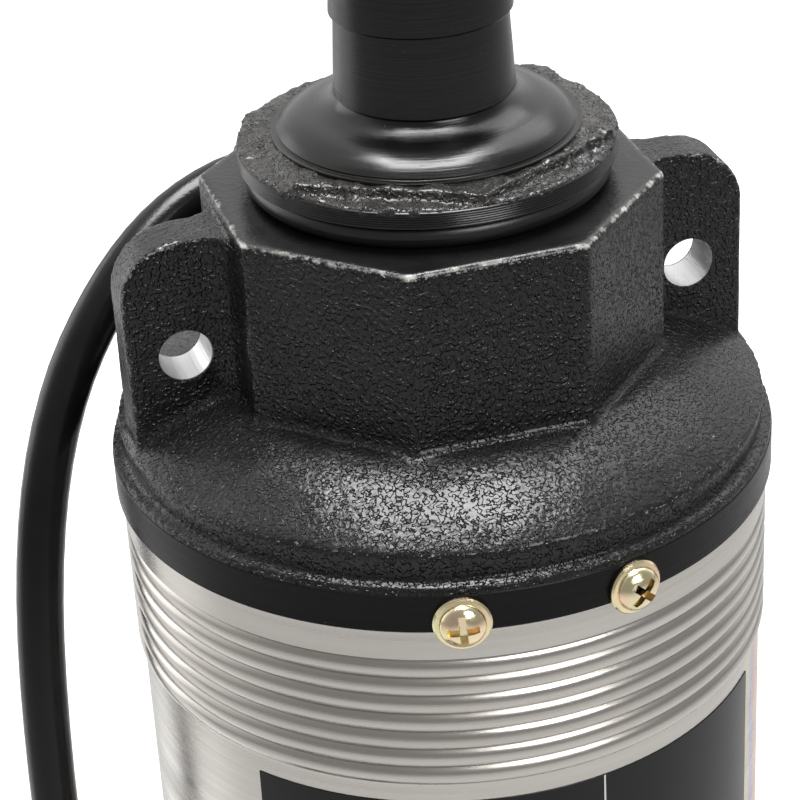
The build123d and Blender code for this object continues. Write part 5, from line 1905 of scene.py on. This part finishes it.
@dataclass
class Studio:
    """White floor, soft lights and the world round the pump.

    Attributes:
        lamps: the lamps.
        sky: the strength of the sky.
        paper: the floor's grey.
        white: how much white the floor adds where it is seen straight.
        mirrored: how much it adds where a gloss mirrors it.
        behind: how much it adds there at the back left.
        back_left: the way to the back left.
    """

    lamps: tuple[Lamp, ...] = (
        Lamp("top", (0.04, 0.16, 1.62), 0.7, 34.0), Lamp("window", (-1.0, 1.04, 0.6), 1.0, 4.0),
        Lamp("right", (0.7, 0.62, 1.5), 0.8, 4.0), Lamp("front", (0.33, -1.01, 1.2), 0.62, 9.0))
    sky: float = 0.42
    paper: float = 0.4
    white: float = 0.95
    mirrored: float = 0.12
    behind: float = 0.5
    back_left: Point3 = (-0.68, 0.73, 0.0)

    def build(self) -> None:
        """Sets up the floor, the lamps, the world and the view's plain colours."""
        self._floor()
        for lamp in self.lamps:
            lamp.build()
        self._world()
        bpy.context.scene.view_settings.view_transform = "Standard"

    def _floor(self) -> None:
        """Lays a wide pale floor that shows white to the camera."""
        nothing_selected()
        bpy.ops.mesh.primitive_plane_add(size=14.0)
        floor = bpy.context.object
        floor.name = "floor"
        material = bpy.data.materials.new("floor_paper")
        material.use_nodes = True
        tree = material.node_tree
        shader = tree.nodes["Principled BSDF"]
        shader.inputs["Base Color"].default_value = (self.paper,) * 3 + (1,)
        shader.inputs["Roughness"].default_value = 0.9
        shader.inputs["Emission Color"].default_value = (1, 1, 1, 1)
        away = tree.nodes.new("ShaderNodeVectorMath")
        away.operation = "NORMALIZE"
        toward = tree.nodes.new("ShaderNodeVectorMath")
        toward.operation = "DOT_PRODUCT"
        toward.inputs[1].default_value = self.back_left
        coords = tree.nodes.new("ShaderNodeTexCoord").outputs["Object"]
        tree.links.new(coords, away.inputs[0])
        tree.links.new(away.outputs["Vector"], toward.inputs[0])
        share = ranged(tree, toward.outputs["Value"], 0.84, 0.94, self.mirrored, self.behind, True)
        straight, glossy = rays(tree)
        tree.links.new(math_node(tree, "MAXIMUM", math_node(tree, "MULTIPLY", straight, self.white),
                                 math_node(tree, "MULTIPLY", glossy, share)),
                       shader.inputs["Emission Strength"])
        floor.data.materials.append(material)

    def _world(self) -> None:
        """Makes the world white to the camera, its back half to gloss too, and the rest a sky."""
        world = bpy.data.worlds.new("studio")
        bpy.context.scene.world = world
        world.use_nodes = True
        tree = world.node_tree
        tree.nodes.clear()
        white, soft = (tree.nodes.new("ShaderNodeBackground") for _ in range(2))
        white.inputs["Color"].default_value = (1, 1, 1, 1)
        soft.inputs["Strength"].default_value = self.sky
        depth = split(tree, tree.nodes.new("ShaderNodeTexCoord").outputs["Generated"])["Y"]
        shade = ramp(tree, math_node(tree, "MULTIPLY_ADD", depth, 0.5, 0.5),
                     ((0.25, (0.72, 0.72, 0.72)), (0.62, (1.0, 1.0, 1.0))))
        tree.links.new(shade, soft.inputs["Color"])
        straight, glossy = rays(tree)
        back = math_node(tree, "MULTIPLY", glossy, ranged(tree, depth, -0.1, 0.35, smooth=True))
        mix = tree.nodes.new("ShaderNodeMixShader")
        tree.links.new(math_node(tree, "MAXIMUM", straight, back), mix.inputs[0])
        tree.links.new(soft.outputs[0], mix.inputs[1])
        tree.links.new(white.outputs[0], mix.inputs[2])
        out = tree.nodes.new("ShaderNodeOutputWorld")
        tree.links.new(mix.outputs[0], out.inputs["Surface"])


@dataclass
class PhotoCamera:
    """The camera where the photograph was taken from.

    Attributes:
        elevation: its height above the horizon in degrees.
        azimuth: its turn about the pump in degrees, 0 looking along +Y.
        roll: its roll in degrees.
        distance: its distance from the middle of the rim in millimetres.
        aside: how far its axis passes beside the rim's middle, to the right and up.
        lens: its focal length for a 36 mm long side.
    """

    elevation: float = 28.944
    azimuth: float = -15.175
    roll: float = -3.366
    distance: float = 405.91
    aside: Point2 = (-7.182, 2.348)
    lens: float = 119.855

    def build(self) -> None:
        """Creates the camera and makes it the scene's."""
        high, turn, roll = (math.radians(v) for v in (self.elevation, self.azimuth, self.roll))
        back = Vector((math.cos(high) * math.sin(turn), -math.cos(high) * math.cos(turn),
                       math.sin(high)))
        right = Vector((math.cos(turn), math.sin(turn), 0))
        up = back.cross(right)
        right, up = (right * math.cos(roll) + up * math.sin(roll),
                     up * math.cos(roll) - right * math.sin(roll))
        spot = Vector((0, 0, RIM_Z)) + back * self.distance
        spot += right * self.aside[0] + up * self.aside[1]
        data = bpy.data.cameras.new("photo_camera")
        data.lens = self.lens
        data.sensor_width = 36.0
        data.clip_start = 0.01
        data.clip_end = 50.0
        camera = bpy.data.objects.new("photo_camera", data)
        camera.matrix_world = Matrix.Translation(spot * MM) @ Matrix(
            (right, up, back)).transposed().to_4x4()
        bpy.context.scene.collection.objects.link(camera)
        bpy.context.scene.camera = camera


def main() -> None:
    """Loads the frame and builds everything round it, piece by piece."""
    logging.basicConfig(level=logging.INFO, format="%(name)s %(message)s")
    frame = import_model()
    shop = Paintshop()
    PhotoCamera().build()
    built = [CableSet(shop), CastHead(shop), HoseTail(shop), RolledShell(shop), Screws(shop)]
    for part in built:
        part.build()
        part.report()
    carried = CarriedNodes(shop)
    carried.dress_all(frame["nodes"])
    carried.report()
    Studio().build()


if __name__ == "__main__":
    main()
